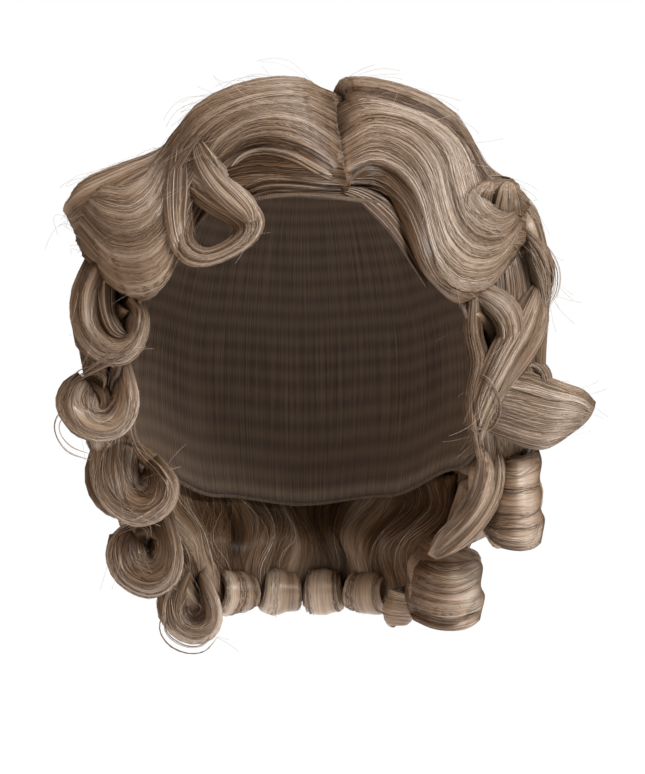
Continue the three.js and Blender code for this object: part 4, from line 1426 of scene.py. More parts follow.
# %% Guide lines of the front loop
DRAWN.update({
    "forehead_drawn": {
        "node": "forehead_curl", "plane": "forehead_curl", "forward": (2.5, 4.5, 1.5), "strands": 220,
        "steps": 20, "tones": (0.48, 0.52, 0.36), "thick": 6, "across": 30,
        "recede": (9, 2, 0, 0, 0, 0, 0, 0, 0, 0, 2, 6), "taper": (1, 0.6), "groove": 0.3,
        "shade": (-0.14, -0.02, 0.06, 0.04, -0.08, -0.04, 0.02, 0.06, 0.02, -0.05, -0.1, -0.16),
        "lines": [
            [(186, 150), (209, 166), (237, 186), (257, 204), (265, 222), (256, 242), (232, 258), (205, 267),
             (182, 262), (171, 244), (172, 222), (182, 205)],
            [(180, 166), (198, 182), (222, 200), (242, 214), (250, 226), (243, 240), (225, 252), (205, 258),
             (189, 253), (181, 240), (183, 224), (190, 211)],
            [(174, 182), (188, 198), (207, 212), (226, 222), (234, 230), (229, 238), (217, 245), (206, 248),
             (197, 243), (193, 234), (195, 226), (199, 219)],
        ]},
    "forehead_fall_drawn": {
        "node": "forehead_curl", "onto": ("wave_left_drawn", "wave_left"), "strands": 110, "steps": 14,
        "tones": (0.36, 0.48, 0.42), "thick": 2.5, "rise": (-2, 0.5, 2, 3, 4, 4), "taper": (0.5, 0.35),
        "groove": 0.3, "shade": (-0.16, -0.12, 0.02, 0.06, 0.02, -0.06),
        "lines": [
            [(168, 128), (162, 175), (164, 218), (172, 250), (194, 268), (230, 262)],
            [(180, 132), (175, 178), (175, 220), (182, 246), (200, 259), (230, 255)],
            [(193, 136), (190, 180), (187, 222), (192, 241), (206, 250), (228, 247)],
        ]},
    "forehead_blend_drawn": {
        "node": "forehead_curl", "onto": ("forehead_drawn", "wave_left_drawn", "wave_left"), "strands": 130,
        "steps": 14, "tones": (0.46, 0.5, 0.42), "thick": 2, "rise": (-1, 0.5, 1, 1, 0.5, 0),
        "taper": (0.4, 0.4), "groove": 0.3, "shade": (-0.18, -0.1, 0.02, 0.06, 0.0, -0.06),
        "lines": [
            [(206, 132), (214, 150), (229, 170), (246, 188), (259, 206), (263, 222)],
            [(195, 138), (204, 158), (219, 180), (236, 198), (248, 212), (252, 224)],
            [(184, 146), (192, 168), (207, 192), (226, 210), (238, 220), (242, 228)],
        ]},
    "temple_fall_drawn": {
        "node": "temple_curl_left", "plane": "temple_curl_left", "forward": (3, 7, 3), "strands": 90,
        "steps": 12, "tones": (0.34, 0.48, 0.36), "thick": 6, "recede": (10, 5, 1, 0, 1, 4),
        "taper": (1, 0.3),
        "lines": [
            [(101, 240), (95, 270), (95, 299), (101, 324), (112, 340), (126, 344)],
            [(112, 243), (107, 273), (106, 299), (110, 320), (118, 332), (128, 336)],
            [(123, 248), (118, 277), (116, 300), (118, 316), (123, 325), (129, 329)],
        ]},
})
print("drawn locks so far:", len(DRAWN))

# %% [markdown]
# ## The hairline
# Short hair is combed back from the cap's front edge. It is painted dark, as painted shade where the
# waves overhang it.

# %% Guide lines of the hairline
DRAWN.update({
    "hairline_left_drawn": {
        "node": "hairline_front", "onto": ("wig_cap", "hairline_front"), "strands": 130, "steps": 12,
        "tones": (0.3, 0.24, 0.12), "limit": 0,
        "lines": [
            [(352, 182), (322, 180), (292, 176), (264, 176), (238, 186), (214, 202)],
            [(352, 192), (322, 191), (292, 188), (264, 189), (240, 199), (220, 214)],
            [(352, 200), (322, 199), (292, 197), (264, 199), (242, 208), (226, 222)],
        ]},
    "hairline_right_drawn": {
        "node": "wave_right", "onto": ("wig_cap",), "strands": 90, "steps": 12, "tones": (0.44, 0.4),
        "limit": 0,
        "lines": [
            [(340, 184), (362, 187), (386, 197), (404, 216), (418, 244), (430, 272)],
            [(338, 192), (356, 200), (374, 216), (392, 236), (408, 260), (426, 288)],
        ]},
})
print("drawn locks so far:", len(DRAWN))

# %% [markdown]
# ## Locks of the right side
# The right side is looser than the left: a swirl under the wave, a small crest of two locks, a tuft, a
# lock that crosses to the front, the hair along the open front, and a wing that stands out like a
# shell. Taper narrows a lock's ends.

# %% Guide lines of the right side
DRAWN.update({
    "swirl_drawn": {
        "node": "temple_swirl_right", "plane": "temple_swirl_right", "forward": (4, 9, 5), "strands": 120,
        "steps": 13, "tones": (0.34, 0.5, 0.3), "thick": 6, "recede": (8, 3, 0, 0, 1, 4),
        "taper": (0.8, 0.3),
        "lines": [
            [(464, 278), (494, 284), (519, 304), (526, 336), (514, 368), (497, 398)],
            [(464, 290), (487, 297), (507, 315), (511, 341), (500, 369), (486, 398)],
            [(466, 304), (480, 310), (494, 325), (496, 346), (486, 370), (475, 396)],
        ]},
    "crest_left_drawn": {
        "node": "crest_curl_right", "onto": ("crest_curl_right",), "strands": 70, "steps": 9,
        "tones": (0.4, 0.48, 0.4), "thick": 3, "taper": (1, 0.3), "rise": (0, 1, 2, 2, 1), "groove": 0.3,
        "shade": (-0.16, -0.05, 0.0, 0.02, -0.04),
        "lines": [
            [(467, 222), (466, 204), (471, 190), (480, 181), (489, 177)],
            [(480, 222), (479, 205), (482, 194), (488, 186), (492, 180)],
            [(495, 222), (493, 207), (493, 197), (495, 189), (497, 184)],
        ]},
    "crest_right_drawn": {
        "node": "crest_curl_right", "onto": ("crest_curl_right",), "strands": 70, "steps": 9,
        "tones": (0.38, 0.48, 0.4), "thick": 3, "taper": (1, 0.3), "rise": (0, 1.5, 2.5, 2.5, 1),
        "groove": 0.3, "shade": (-0.16, -0.05, 0.0, 0.02, -0.04),
        "lines": [
            [(490, 222), (491, 207), (494, 196), (498, 187), (502, 180)],
            [(506, 221), (507, 207), (508, 196), (508, 187), (507, 179)],
            [(525, 216), (523, 204), (520, 193), (516, 185), (511, 180)],
        ]},
    "tuft_drawn": {
        "node": "tuft_right", "onto": ("tuft_right",), "strands": 130, "steps": 14, "tones": (0.4, 0.5),
        "taper": (0.7, 0.3),
        "lines": [
            [(514, 222), (527, 226), (541, 237), (551, 254), (556, 275), (553, 298)],
            [(508, 240), (516, 250), (524, 265), (531, 283), (535, 300), (534, 318)],
        ]},
    "side_lock_drawn": {
        "node": "side_lock_right", "onto": ("side_lock_right",), "strands": 190, "steps": 14,
        "tones": (0.3, 0.47, 0.34), "thick": 4, "taper": (0.45, 0.3), "rise": (0, 1, 2, 2, 1, 0),
        "lines": [
            [(528, 276), (513, 312), (496, 343), (482, 375), (472, 408), (468, 440)],
            [(541, 284), (527, 322), (509, 354), (493, 386), (481, 416), (474, 446)],
            [(553, 296), (541, 336), (522, 367), (504, 397), (489, 424), (479, 452)],
        ]},
    "face_side_drawn": {
        "node": "side_right", "plane": "temple_swirl_right", "forward": (2, 5, 2), "strands": 110,
        "steps": 14, "tones": (0.24, 0.36, 0.3), "thick": 4, "taper": (0.5, 0.4),
        "lines": [
            [(464, 288), (462, 328), (468, 362), (463, 395), (466, 428), (476, 458)],
            [(474, 288), (473, 330), (479, 362), (472, 395), (473, 428), (480, 458)],
            [(486, 290), (484, 333), (491, 362), (482, 395), (481, 428), (485, 458)],
        ]},
    "wing_drawn": {
        "node": "wing_curl_right", "plane": "nest_curl_right", "forward": (-3, 5, 7, 4, -4), "strands": 260,
        "steps": 14, "tones": (0.42, 0.52, 0.54, 0.46, 0.34), "thick": 9, "recede": (4, 0, 0, 1, 1, 4, 9),
        # The wing's shade row paints a highlight band across it and painted shade at both ends.
        "across": 36, "shade": (-0.2, -0.12, -0.05, 0.02, 0.18, 0.06, -0.2),
        "lines": [
            [(486, 372), (506, 366), (528, 368), (550, 377), (568, 384), (584, 390), (596, 402)],
            [(484, 386), (506, 383), (529, 387), (551, 394), (568, 398), (583, 402), (594, 410)],
            [(482, 400), (505, 401), (528, 407), (549, 412), (566, 413), (580, 414), (589, 419)],
            [(480, 414), (502, 419), (523, 426), (542, 430), (558, 430), (572, 427), (581, 427)],
            [(478, 428), (498, 436), (517, 444), (532, 449), (546, 449), (560, 442), (570, 435)],
        ]},
})
print("drawn locks so far:", len(DRAWN))

# %% [markdown]
# ## Columns behind the curls
# Behind the side curls hangs the hair that they are wound from. It follows the side of the cap, so it
# recedes as it falls.

# %% Guide lines of the columns
DRAWN.update({
    "column_left": {
        "node": "side_left", "plane": "ear_curl_left", "forward": (-18, -14, -18), "strands": 140,
        "steps": 18, "tones": (0.36, 0.4, 0.32), "recede": (4, 2, 2, 2, 8, 22, 38, 46, 52, 60, 68),
        "thick": 4,
        "lines": [
            [(98, 255), (90, 290), (90, 330), (92, 362), (88, 395), (98, 430), (118, 470), (124, 515),
             (134, 560), (160, 590), (182, 625)],
            [(106, 258), (99, 295), (97, 335), (98, 368), (95, 402), (106, 440), (138, 475), (149, 515),
             (157, 557), (180, 592), (198, 625)],
            [(114, 262), (107, 300), (104, 340), (104, 375), (102, 410), (114, 450), (158, 480), (174, 515),
             (180, 555), (200, 595), (215, 625)],
        ]},
    "column_right": {
        "node": "side_right", "plane": "temple_swirl_right", "forward": (-8, -6, -8), "strands": 160,
        "steps": 18, "tones": (0.3, 0.38, 0.36), "recede": (6, 4, 4, 6, 12, 24, 34, 44, 52), "thick": 4,
        "lines": [
            [(484, 262), (478, 305), (478, 350), (478, 395), (480, 440), (484, 470), (473, 500), (452, 535),
             (435, 560)],
            [(505, 245), (512, 295), (508, 340), (510, 385), (508, 420), (510, 455), (495, 485), (478, 518),
             (462, 548)],
            [(536, 232), (550, 280), (548, 325), (546, 365), (548, 400), (545, 440), (520, 470), (505, 500),
             (490, 535)],
        ]},
})
print("drawn locks so far:", len(DRAWN))

# %% [markdown]
# ## Barrels
# Two curls were wound on an upright roller. Their strands run round them. Their shade rows paint a
# bright band where the barrel faces the light, and painted shade at its sides.

# %% Guide lines of the barrels
DRAWN.update({
    "barrel_upper_drawn": {
        "node": "barrel_upper_right", "onto": ("barrel_upper_right",), "strands": 110, "steps": 12,
        "across": 40, "tones": (0.4, 0.46, 0.47, 0.47, 0.46, 0.4),
        "shade": (-0.38, -0.28, -0.1, 0.2, 0.05, -0.28), "rise": (0, 1, 1.5, 1.5, 1, 0), "groove": 0.35,
        "lines": [
            [(485, 450), (498, 454), (512, 456), (524, 455), (533, 452), (539, 449)],
            [(484, 464), (497, 470), (512, 472), (525, 471), (535, 467), (542, 462)],
            [(484, 479), (497, 485), (512, 488), (525, 486), (534, 483), (540, 478)],
            [(483, 494), (497, 501), (513, 504), (527, 502), (536, 498), (543, 492)],
            [(483, 508), (497, 515), (513, 518), (527, 517), (536, 513), (541, 508)],
            [(483, 521), (498, 529), (514, 532), (528, 530), (538, 525), (545, 519)],
            [(485, 533), (499, 540), (515, 543), (529, 541), (538, 537), (543, 533)],
            [(489, 542), (501, 548), (516, 551), (529, 550), (536, 547), (541, 543)],
        ]},
    "barrel_lower_drawn": {
        "node": "barrel_lower_right", "onto": ("barrel_lower_right",), "strands": 110, "steps": 12,
        "across": 40, "tones": (0.44, 0.48, 0.5, 0.5, 0.44), "shade": (-0.3, -0.22, -0.1, 0.14, 0.2, -0.24),
        "rise": (0, 1, 1.5, 1.5, 1, 0), "groove": 0.35,
        "lines": [
            [(420, 556), (435, 560), (450, 562), (463, 561), (472, 559), (478, 557)],
            [(412, 568), (430, 576), (448, 580), (463, 579), (475, 574), (483, 567)],
            [(406, 582), (427, 592), (447, 596), (463, 595), (474, 591), (481, 585)],
            [(405, 596), (427, 606), (447, 611), (464, 609), (477, 604), (485, 596)],
            [(408, 609), (428, 619), (447, 623), (463, 621), (475, 617), (482, 611)],
            [(413, 620), (431, 628), (448, 631), (463, 630), (473, 626), (480, 620)],
        ]},
})
print("drawn locks so far:", len(DRAWN))

# %% [markdown]
# ## Loose loops and links
# Some strands leave one curl and join the next, and a few make loops of their own. These drawings are
# bare: strands with no mass. The last drawing is the lock that hangs in front of the barrels.

# %% Guide lines of the loose strands
LINK_SHADE = (-0.1, 0, 0.04, 0, -0.06, 0, -0.1)
DRAWN.update({
    "ear_loop_drawn": {
        "node": "ear_curl_left", "plane": "ear_curl_left", "forward": (4, 6), "strands": 12, "steps": 14,
        "tones": (0.46, 0.54), "bare": True,
        "lines": [
            [(72, 404), (58, 411), (52, 425), (56, 441), (68, 455), (90, 463)],
            [(76, 412), (64, 420), (61, 428), (65, 437), (75, 446), (92, 452)],
        ]},
    "nape_loop_drawn": {
        "node": "nape_curl_left", "plane": "nape_curl_left", "forward": (4, 6), "strands": 12, "steps": 14,
        "tones": (0.46, 0.54), "bare": True,
        "lines": [
            [(176, 600), (161, 614), (158, 631), (168, 647), (186, 655), (205, 653), (219, 638)],
            [(180, 608), (169, 620), (167, 630), (175, 639), (189, 645), (203, 643), (212, 632)],
        ]},
    "temple_link_drawn": {
        "node": "temple_curl_left", "onto": ("temple_bowl", "ear_bowl"), "strands": 45, "steps": 13,
        "tones": (0.44, 0.5), "shade": LINK_SHADE, "bare": True,
        "lines": [
            [(146, 312), (143, 336), (128, 356), (104, 368), (80, 380), (62, 396), (57, 412)],
            [(134, 300), (132, 326), (120, 345), (100, 358), (84, 372), (72, 388), (68, 404)],
        ]},
    "ear_link_drawn": {
        "node": "ear_curl_left", "onto": ("ear_bowl", "cheek_bowl"), "strands": 45, "steps": 13,
        "tones": (0.44, 0.5), "shade": LINK_SHADE, "bare": True,
        "lines": [
            [(139, 396), (136, 418), (122, 438), (106, 452), (96, 468), (92, 486), (98, 503)],
            [(128, 392), (126, 410), (114, 427), (106, 440), (104, 458), (104, 478), (109, 494)],
        ]},
    "cheek_arm_drawn": {
        "node": "cheek_curl_left", "onto": ("ear_bowl", "cheek_bowl"), "strands": 45, "steps": 13,
        "tones": (0.42, 0.48), "shade": (-0.12, -0.06, 0, 0.02, 0, -0.1), "bare": True,
        "lines": [
            [(139, 405), (138, 430), (148, 450), (166, 468), (177, 490), (172, 508)],
            [(129, 405), (128, 432), (136, 454), (152, 470), (164, 486), (163, 502)],
        ]},
    "cheek_link_drawn": {
        "node": "cheek_curl_left", "onto": ("cheek_bowl", "low_bowl"), "strands": 45, "steps": 13,
        "tones": (0.4, 0.46), "shade": LINK_SHADE, "bare": True,
        "lines": [
            [(176, 482), (172, 504), (154, 522), (132, 530), (114, 540), (107, 556), (112, 574)],
            [(164, 480), (160, 498), (146, 510), (130, 520), (120, 534), (118, 552), (122, 568)],
        ]},
    "low_link_drawn": {
        "node": "low_curl_left", "onto": ("low_bowl", "nape_bowl"), "strands": 45, "steps": 13,
        "tones": (0.4, 0.46), "shade": (-0.1, 0, 0.02, -0.04, 0, -0.1), "bare": True,
        "lines": [
            [(183, 548), (181, 572), (172, 590), (166, 606), (165, 622), (172, 636)],
            [(172, 546), (171, 566), (168, 582), (172, 600), (175, 614), (181, 626)],
        ]},
    "ear_frizz_drawn": {
        "node": "ear_curl_left", "plane": "ear_curl_left", "forward": (5, 8), "strands": 18, "steps": 13,
        "tones": (0.42, 0.5), "bare": True,
        "lines": [
            [(62, 402), (66, 385), (77, 371), (94, 365), (109, 372), (108, 388)],
            [(72, 404), (76, 389), (84, 379), (95, 375), (103, 380), (101, 392)],
        ]},
    "low_frizz_drawn": {
        "node": "low_curl_left", "plane": "low_curl_left", "forward": (5, 8), "strands": 18, "steps": 13,
        "tones": (0.38, 0.46), "bare": True,
        "lines": [
            [(108, 560), (112, 540), (122, 525), (137, 518), (150, 524), (152, 538)],
            [(118, 560), (121, 544), (129, 533), (138, 528), (146, 533), (146, 544)],
        ]},
    "crest_loop_drawn": {
        "node": "crest_curl_right", "onto": ("crest_left_drawn", "wave_right_drawn", "wave_right"),
        "strands": 8, "steps": 13, "tones": (0.5, 0.56), "rise": (1, 1), "bare": True,
        "lines": [
            [(482, 178), (468, 186), (463, 200), (468, 213), (482, 219), (498, 214)],
            [(486, 184), (474, 190), (470, 200), (474, 209), (484, 213), (496, 209)],
        ]},
    "tuft_loop_drawn": {
        "node": "tuft_right", "plane": "nest_curl_right", "forward": (0, 3), "strands": 10, "steps": 13,
        "tones": (0.5, 0.56), "bare": True,
        "lines": [
            [(528, 232), (548, 245), (561, 268), (560, 292), (548, 312)],
            [(524, 240), (540, 250), (551, 270), (551, 290), (543, 305)],
        ]},
    "side_loop_drawn": {
        "node": "side_lock_right", "onto": ("side_lock_drawn", "wing_drawn", "face_side_drawn"),
        "strands": 12, "steps": 13, "tones": (0.5, 0.58), "rise": (0.5, 2, 0.5), "bare": True,
        "lines": [
            [(478, 372), (488, 376), (499, 392), (502, 412), (493, 429), (478, 435), (466, 424)],
            [(480, 382), (488, 388), (494, 400), (495, 414), (489, 424), (479, 428), (471, 420)],
        ]},
    "ear_lock_drawn": {
        "node": "ear_lock_right", "onto": ("ear_lock_right",), "strands": 130, "steps": 12,
        "tones": (0.36, 0.5, 0.38), "taper": (0.5, 0.3), "thick": 4, "rise": (0, 1, 2, 2, 1, 0),
        "lines": [
            [(472, 436), (475, 464), (470, 490), (455, 514), (434, 534), (416, 548)],
            [(488, 436), (491, 466), (487, 493), (473, 518), (452, 540), (432, 557)],
            [(504, 436), (507, 468), (503, 496), (489, 522), (469, 546), (448, 566)],
        ]},
})
print("drawn locks:", len(DRAWN))

# %% [markdown]
# ## From the picture to the hair
# A pixel is a ray from the camera. Where the ray meets the mass, or the curl's plane, is the point of
# the hair. Points off the edge of a mass take the depth of their neighbours, and the depths are
# smoothed, so that a lock doesn't follow every groove below it.

# %% Depth of a drawing
SMOOTHING_ROUNDS = 4
NEIGHBOURS = 4


def depth_on_masses(rays, names, limit):
    """Distance from the camera, in millimetres, of the first mass that each ray meets before a limit."""
    flat = rays.reshape(-1, 3)
    reach = np.full(len(flat), np.nan)
    for number, ray in enumerate(flat):
        direction = Vector(ray)
        for name in names:
            spot, _, _, _ = trees[name].ray_cast(CAMERA_PLACE, direction)
            if spot is not None and spot.y < limit * MM:
                here = (spot.y - CAMERA_PLACE.y) / MM
                reach[number] = here if np.isnan(reach[number]) else min(reach[number], here)
    return reach.reshape(rays.shape[:-1])


def fill_and_smooth(reach):
    """Fills the gaps along each row from the points that have a depth, and evens out the steps."""
    steps = np.arange(reach.shape[1])
    known = ~np.isnan(reach)
    middle = np.nanmedian(reach)
    for row, good in zip(reach, known):
        row[:] = np.interp(steps, steps[good], row[good]) if good.any() else middle
    for _ in range(SMOOTHING_ROUNDS):
        wide = np.pad(reach, ((1, 1), (1, 1)), mode="edge")
        beside = wide[1:-1, :-2] + wide[1:-1, 2:] + wide[:-2, 1:-1] + wide[2:, 1:-1]
        reach = (beside + NEIGHBOURS * wide[1:-1, 1:-1]) / (2 * NEIGHBOURS)
    return reach


def from_lattice(values, along, between):
    """Values at places between the points of a lattice."""
    row = np.clip(between, 0, 1) * (values.shape[0] - 1)
    column = np.clip(along, 0, 1) * (values.shape[1] - 1)
    first_row = np.minimum(row.astype(int), values.shape[0] - 2)
    first_column = np.minimum(column.astype(int), values.shape[1] - 2)
    down = row - first_row
    over = column - first_column
    upper = values[first_row, first_column] * (1 - over) + values[first_row, first_column + 1] * over
    lower = values[first_row + 1, first_column] * (1 - over) + values[first_row + 1, first_column + 1] * over
    return upper * (1 - down) + lower * down


print("masses to lay hair on:", len(trees))

# %% [markdown]
# ## Laying the drawn locks
# Each drawing becomes a thin skin with strands on it. Its edges and ends sink into the hair below, so
# that it grows out of the section and doesn't lie on it like a ribbon.

# %% Drawn locks
LATTICE_ALONG = 40
LATTICE_ACROSS = 25
SKIN_LIFT = 1.0
SKIN_THICK = 1.4
FARTHEST = 60
EDGE_SINK = 2.4
EDGE_THIN = 0.8
SINK_ACROSS = 0.16
SINK_ALONG = 0.05
TAPER_ALONG = 0.3
LEVEL_ROW = (0, 0)
NO_TAPER = (1, 1)
DRAWN_SIZE = {"along": 34, "across": 20, "groove": 0.45, "tone": SATIN_TONE}


def along_values(drawing, key, along):
    """A drawing's row of values along the hair, at the places asked for."""
    row = np.array(drawing.get(key, LEVEL_ROW), float)[:, None]
    return smooth_rows(row, along)[..., 0]


def drawn_form(drawing):
    """A drawn lock as a function of along (0 to 1), across (-1 to 1) and depth (-1 to 1)."""
    lines = np.array(drawing["lines"], float)
    columns, rows = np.meshgrid(np.linspace(0, 1, LATTICE_ALONG), np.linspace(0, 1, LATTICE_ACROSS))
    pixels, weights = between_lines(lines, columns, rows)
    rays = picture_rays(pixels)
    if "onto" in drawing:
        limit = drawing.get("limit", FARTHEST)
        reach = fill_and_smooth(depth_on_masses(rays, drawing["onto"], limit)) - SKIN_LIFT
    else:
        forward = weights @ np.array(drawing["forward"], float) - along_values(drawing, "recede", columns)
        reach = depth_on_plane(rays, CURL_SIZES[drawing["plane"]], forward)
    reach = reach - along_values(drawing, "rise", columns)
    thick = drawing.get("thick", SKIN_THICK)
    narrow_start, narrow_end = drawing.get("taper", NO_TAPER)

    def place(along, across, depth):
        along, across, depth = np.broadcast_arrays(along, across, depth)
        opening = np.clip(along / TAPER_ALONG, 0, 1)
        closing = np.clip((1 - along) / TAPER_ALONG, 0, 1)
        start_width = narrow_start + (1 - narrow_start) * np.sin(opening * np.pi / 2)
        end_width = narrow_end + (1 - narrow_end) * np.sin(closing * np.pi / 2)
        between = (across * start_width * end_width + 1) / 2
        edge = np.clip(1 - (1 - np.abs(across)) / (2 * SINK_ACROSS), 0, 1)
        end = np.clip(1 - np.minimum(along, 1 - along) / SINK_ALONG, 0, 1)
        border = np.maximum(edge, end) ** 2
        sink = EDGE_SINK * border + thick * (1 - EDGE_THIN * border) * (1 - depth) / 2
        spots, _ = between_lines(lines, along, between)
        return CAMERA_MM + picture_rays(spots) * (from_lattice(reach, along, between) + sink)[..., None]

    return place


def drawn_shade(drawing):
    """The tone that a drawing asks for, with its painted light and shade, measured from the satin's own tone.
    """
    tones = np.array(drawing["tones"], float)[:, None] - SATIN_TONE

    def shade(along, across):
        along, across = np.broadcast_arrays(along, across)
        return smooth_rows(tones, (across + 1) / 2)[..., 0] + along_values(drawing, "shade", along)

    return shade


triangles = 0
drawn = {}
for name, drawing in DRAWN.items():
    drawn[name] = drawn_form(drawing)
    size = {**DRAWN_SIZE, **drawing}
    if drawing.get("bare"):
        loop = comb_sheet(name, drawn[name], size, plain, drawn_shade(drawing))
        triangles += finish_piece(loop, drawing["node"])
    else:
        triangles += dress_sheet(name, drawn[name], size, drawn_shade(drawing))
print("triangles on the drawn locks:", triangles)

# %% [markdown]
# ## Flyaway hairs
# No dressed hair is perfectly smooth. Short fine hairs leave the surface at a low angle and bend away
# on their own. They are lighter than the hair below: a painted highlight where they catch the light
# along the outline.

# %% Flyaways
FLYAWAYS = {
    "wave_left": 120, "wave_right": 120, "wave_back": 70, "wave_left_drawn": 110, "wave_right_drawn": 110,
    "forehead_drawn": 10, "tuft_drawn": 45, "side_lock_drawn": 35, "wing_drawn": 30, "column_left": 60,
    "column_right": 45, "temple_bowl": 12, "ear_bowl": 12, "cheek_bowl": 10, "low_bowl": 12, "nape_bowl": 10,
}
FLYAWAY_STEPS = 9
FLYAWAY_WIDTH = 0.1
FLYAWAY_ALONG = (0.08, 0.85)
FLYAWAY_ACROSS = (-0.95, 0.95)
FLYAWAY_LENGTH = (6, 20)
FLYAWAY_RISE = (0.04, 0.3)
FLYAWAY_BEND = (1.4, 3.1)
FLYAWAY_SWING = 0.4
FLYAWAY_HIGHLIGHT_TONE = 0.66
FLYAWAY_TONE_SPREAD = 0.15
FLYAWAY_TONE_RANGE = (0.2, 0.98)
FORWARD_STEP = 0.02


def flyaways(name, place, count):
    """Short hairs that start on a form's outer face."""
    along = random.uniform(*FLYAWAY_ALONG, (count, 1))
    across = random.uniform(*FLYAWAY_ACROSS, (count, 1))
    root = place(along, across, 1.0)
    outward = sheet_outward(place, along, across)
    forward = unit(place(along + FORWARD_STEP, across, 1.0) - root)
    side = np.cross(forward, outward)
    share = np.linspace(0, 1, FLYAWAY_STEPS)[None, :, None]
    length = random.uniform(*FLYAWAY_LENGTH, (count, 1, 1))
    height = random.uniform(*FLYAWAY_RISE, (count, 1, 1))
    rise = height * np.sin(random.uniform(*FLYAWAY_BEND, (count, 1, 1)) * share)
    swing = random.normal(0, FLYAWAY_SWING, (count, 1, 1)) * share ** 2
    paths = root + length * (forward * share + outward * rise + side * swing)
    widths = np.full(paths.shape[:2], FLYAWAY_WIDTH)
    tones = np.clip(random.normal(FLYAWAY_HIGHLIGHT_TONE, FLYAWAY_TONE_SPREAD, (count, 1)), *FLYAWAY_TONE_RANGE)
    outward = np.broadcast_to(outward, paths.shape)
    return tube_mesh(name + "_flyaways", paths, outward, widths, share[..., 0], tones)


triangles = 0
for name, count in FLYAWAYS.items():
    place = {**SHEETS, **BOWLS, **drawn}[name]
    node = {**RINGS, **DRAWN}.get(name, {"node": name})["node"]
    triangles += finish_piece(flyaways(name, place, count), node)
print("triangles on the flyaways:", triangles)

# %% [markdown]
# ## Floor
# The wig hangs in white studio space. The floor below it glows a little and fades out towards its
# edge, so that no line shows where it ends.

# %% Floor
FLOOR_HEIGHT = -0.26
FLOOR_SIZE = 0.9
FLOOR_FADE = (0.15, 0.6)
FLOOR_COLOUR = (0.9, 0.9, 0.9, 1)
FLOOR_GLOW = 0.65
WHITE = (1, 1, 1, 1)


def make_floor_material():
    material, tree, shader = new_material("floor_paint", MATT_ROUGHNESS)
    shader.inputs["Base Color"].default_value = FLOOR_COLOUR
    shader.inputs["Emission Color"].default_value = WHITE
    shader.inputs["Emission Strength"].default_value = FLOOR_GLOW
    coords = add_node(tree, "ShaderNodeTexCoord")
    parts = add_node(tree, "ShaderNodeSeparateXYZ")
    tree.links.new(coords.outputs["Object"], parts.inputs["Vector"])
    square = math_node(tree, "MULTIPLY_ADD", parts.outputs["X"], parts.outputs["X"],
                       math_node(tree, "MULTIPLY", parts.outputs["Y"], parts.outputs["Y"]))
    fade = add_node(tree, "ShaderNodeMapRange", interpolation_type="SMOOTHSTEP")
    fade.inputs["From Min"].default_value = FLOOR_FADE[0]
    fade.inputs["From Max"].default_value = FLOOR_FADE[1]
    fade.inputs["To Min"].default_value = 1.0
    fade.inputs["To Max"].default_value = 0.0
    tree.links.new(math_node(tree, "SQRT", square), fade.inputs["Value"])
    tree.links.new(fade.outputs["Result"], shader.inputs["Alpha"])
    return material


def make_floor():
    bm = bmesh.new()
    bmesh.ops.create_grid(bm, x_segments=1, y_segments=1, size=FLOOR_SIZE)
    bmesh.ops.translate(bm, verts=bm.verts, vec=(0, 0, FLOOR_HEIGHT))
    mesh = bpy.data.meshes.new("floor")
    bm.to_mesh(mesh)
    bm.free()
    mesh.materials.append(make_floor_material())
    return link_piece("floor", mesh)


floor = make_floor()
floor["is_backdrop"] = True
print("floor at", FLOOR_HEIGHT, "m")

# %% [markdown]
# ## Light
# A large key light stands at the front and right, a warm fill at the left, and a soft light above. The
# room adds a little warm light from all round, but the camera sees it as white.

# %% Lights and room
LIGHTS = [
    ("key_light", (0.95, -1.35, 0.75), 0.6, 40, (1.0, 0.99, 0.98)),
    ("fill_light", (-1.3, -1.0, 0.1), 0.8, 6, (1.0, 0.7, 0.47)),
    ("top_light", (0.3, 0.2, 1.3), 1.0, 9, (1.0, 0.98, 0.96)),
]
LIGHT_AIM = Vector((0, 0, -0.09))
ROOM_LIGHT = (1.0, 0.88, 0.76, 1)
ROOM_STRENGTH = 0.3


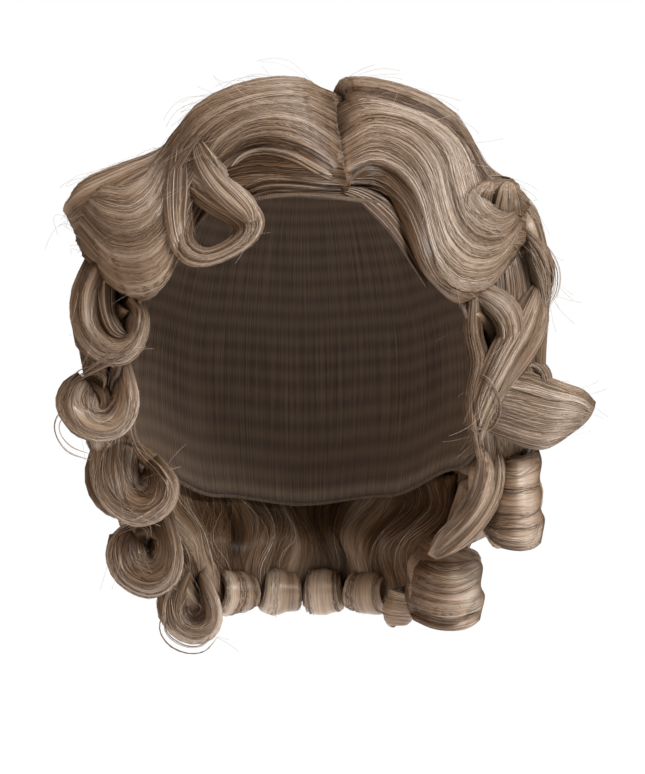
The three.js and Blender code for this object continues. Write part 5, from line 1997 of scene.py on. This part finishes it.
def make_lights():
    for name, place, size, power, colour in LIGHTS:
        light = bpy.data.lights.new(name, "AREA")
        light.size = size
        light.energy = power
        light.color = colour
        lamp = link_piece(name, light)
        lamp.location = place
        lamp.rotation_euler = (LIGHT_AIM - lamp.location).to_track_quat("-Z", "Y").to_euler()


def make_world():
    world = bpy.data.worlds.new("studio")
    world.use_nodes = True
    tree = world.node_tree
    room = tree.nodes["Background"]
    room.inputs["Color"].default_value = ROOM_LIGHT
    room.inputs["Strength"].default_value = ROOM_STRENGTH
    seen = add_node(tree, "ShaderNodeBackground")
    seen.inputs["Color"].default_value = WHITE
    path = add_node(tree, "ShaderNodeLightPath")
    mix = add_node(tree, "ShaderNodeMixShader")
    tree.links.new(path.outputs["Is Camera Ray"], mix.inputs["Fac"])
    tree.links.new(room.outputs["Background"], mix.inputs[1])
    tree.links.new(seen.outputs["Background"], mix.inputs[2])
    tree.links.new(mix.outputs["Shader"], tree.nodes["World Output"].inputs["Surface"])
    bpy.context.scene.world = world


make_lights()
make_world()
print("lights:", len(LIGHTS))

# %% [markdown]
# ## Camera
# The camera stands level in front of the wig. Its lens gives the scale that the guide lines were
# drawn in.

# %% Camera
SENSOR = 36
UPRIGHT = math.radians(RIGHT_ANGLE)


def make_camera():
    camera = bpy.data.cameras.new("camera")
    camera.sensor_width = SENSOR
    camera.sensor_height = SENSOR
    camera.sensor_fit = "VERTICAL"
    camera.lens = SENSOR * -CAMERA_PLACE.y / (PICTURE_HEIGHT * MM_PER_PIXEL * MM)
    stand = link_piece("camera", camera)
    stand.location = CAMERA_PLACE
    stand.rotation_euler = (UPRIGHT, 0, 0)
    bpy.context.scene.camera = stand
    return camera


camera = make_camera()
bpy.context.scene.view_settings.view_transform = "Standard"
print("lens:", round(camera.lens, 1))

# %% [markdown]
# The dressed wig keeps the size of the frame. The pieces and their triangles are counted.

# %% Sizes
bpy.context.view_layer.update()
shown = [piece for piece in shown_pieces() if piece.type == "MESH"]
print("pieces:", len(shown), "triangles:", sum(triangle_count(piece) for piece in shown))
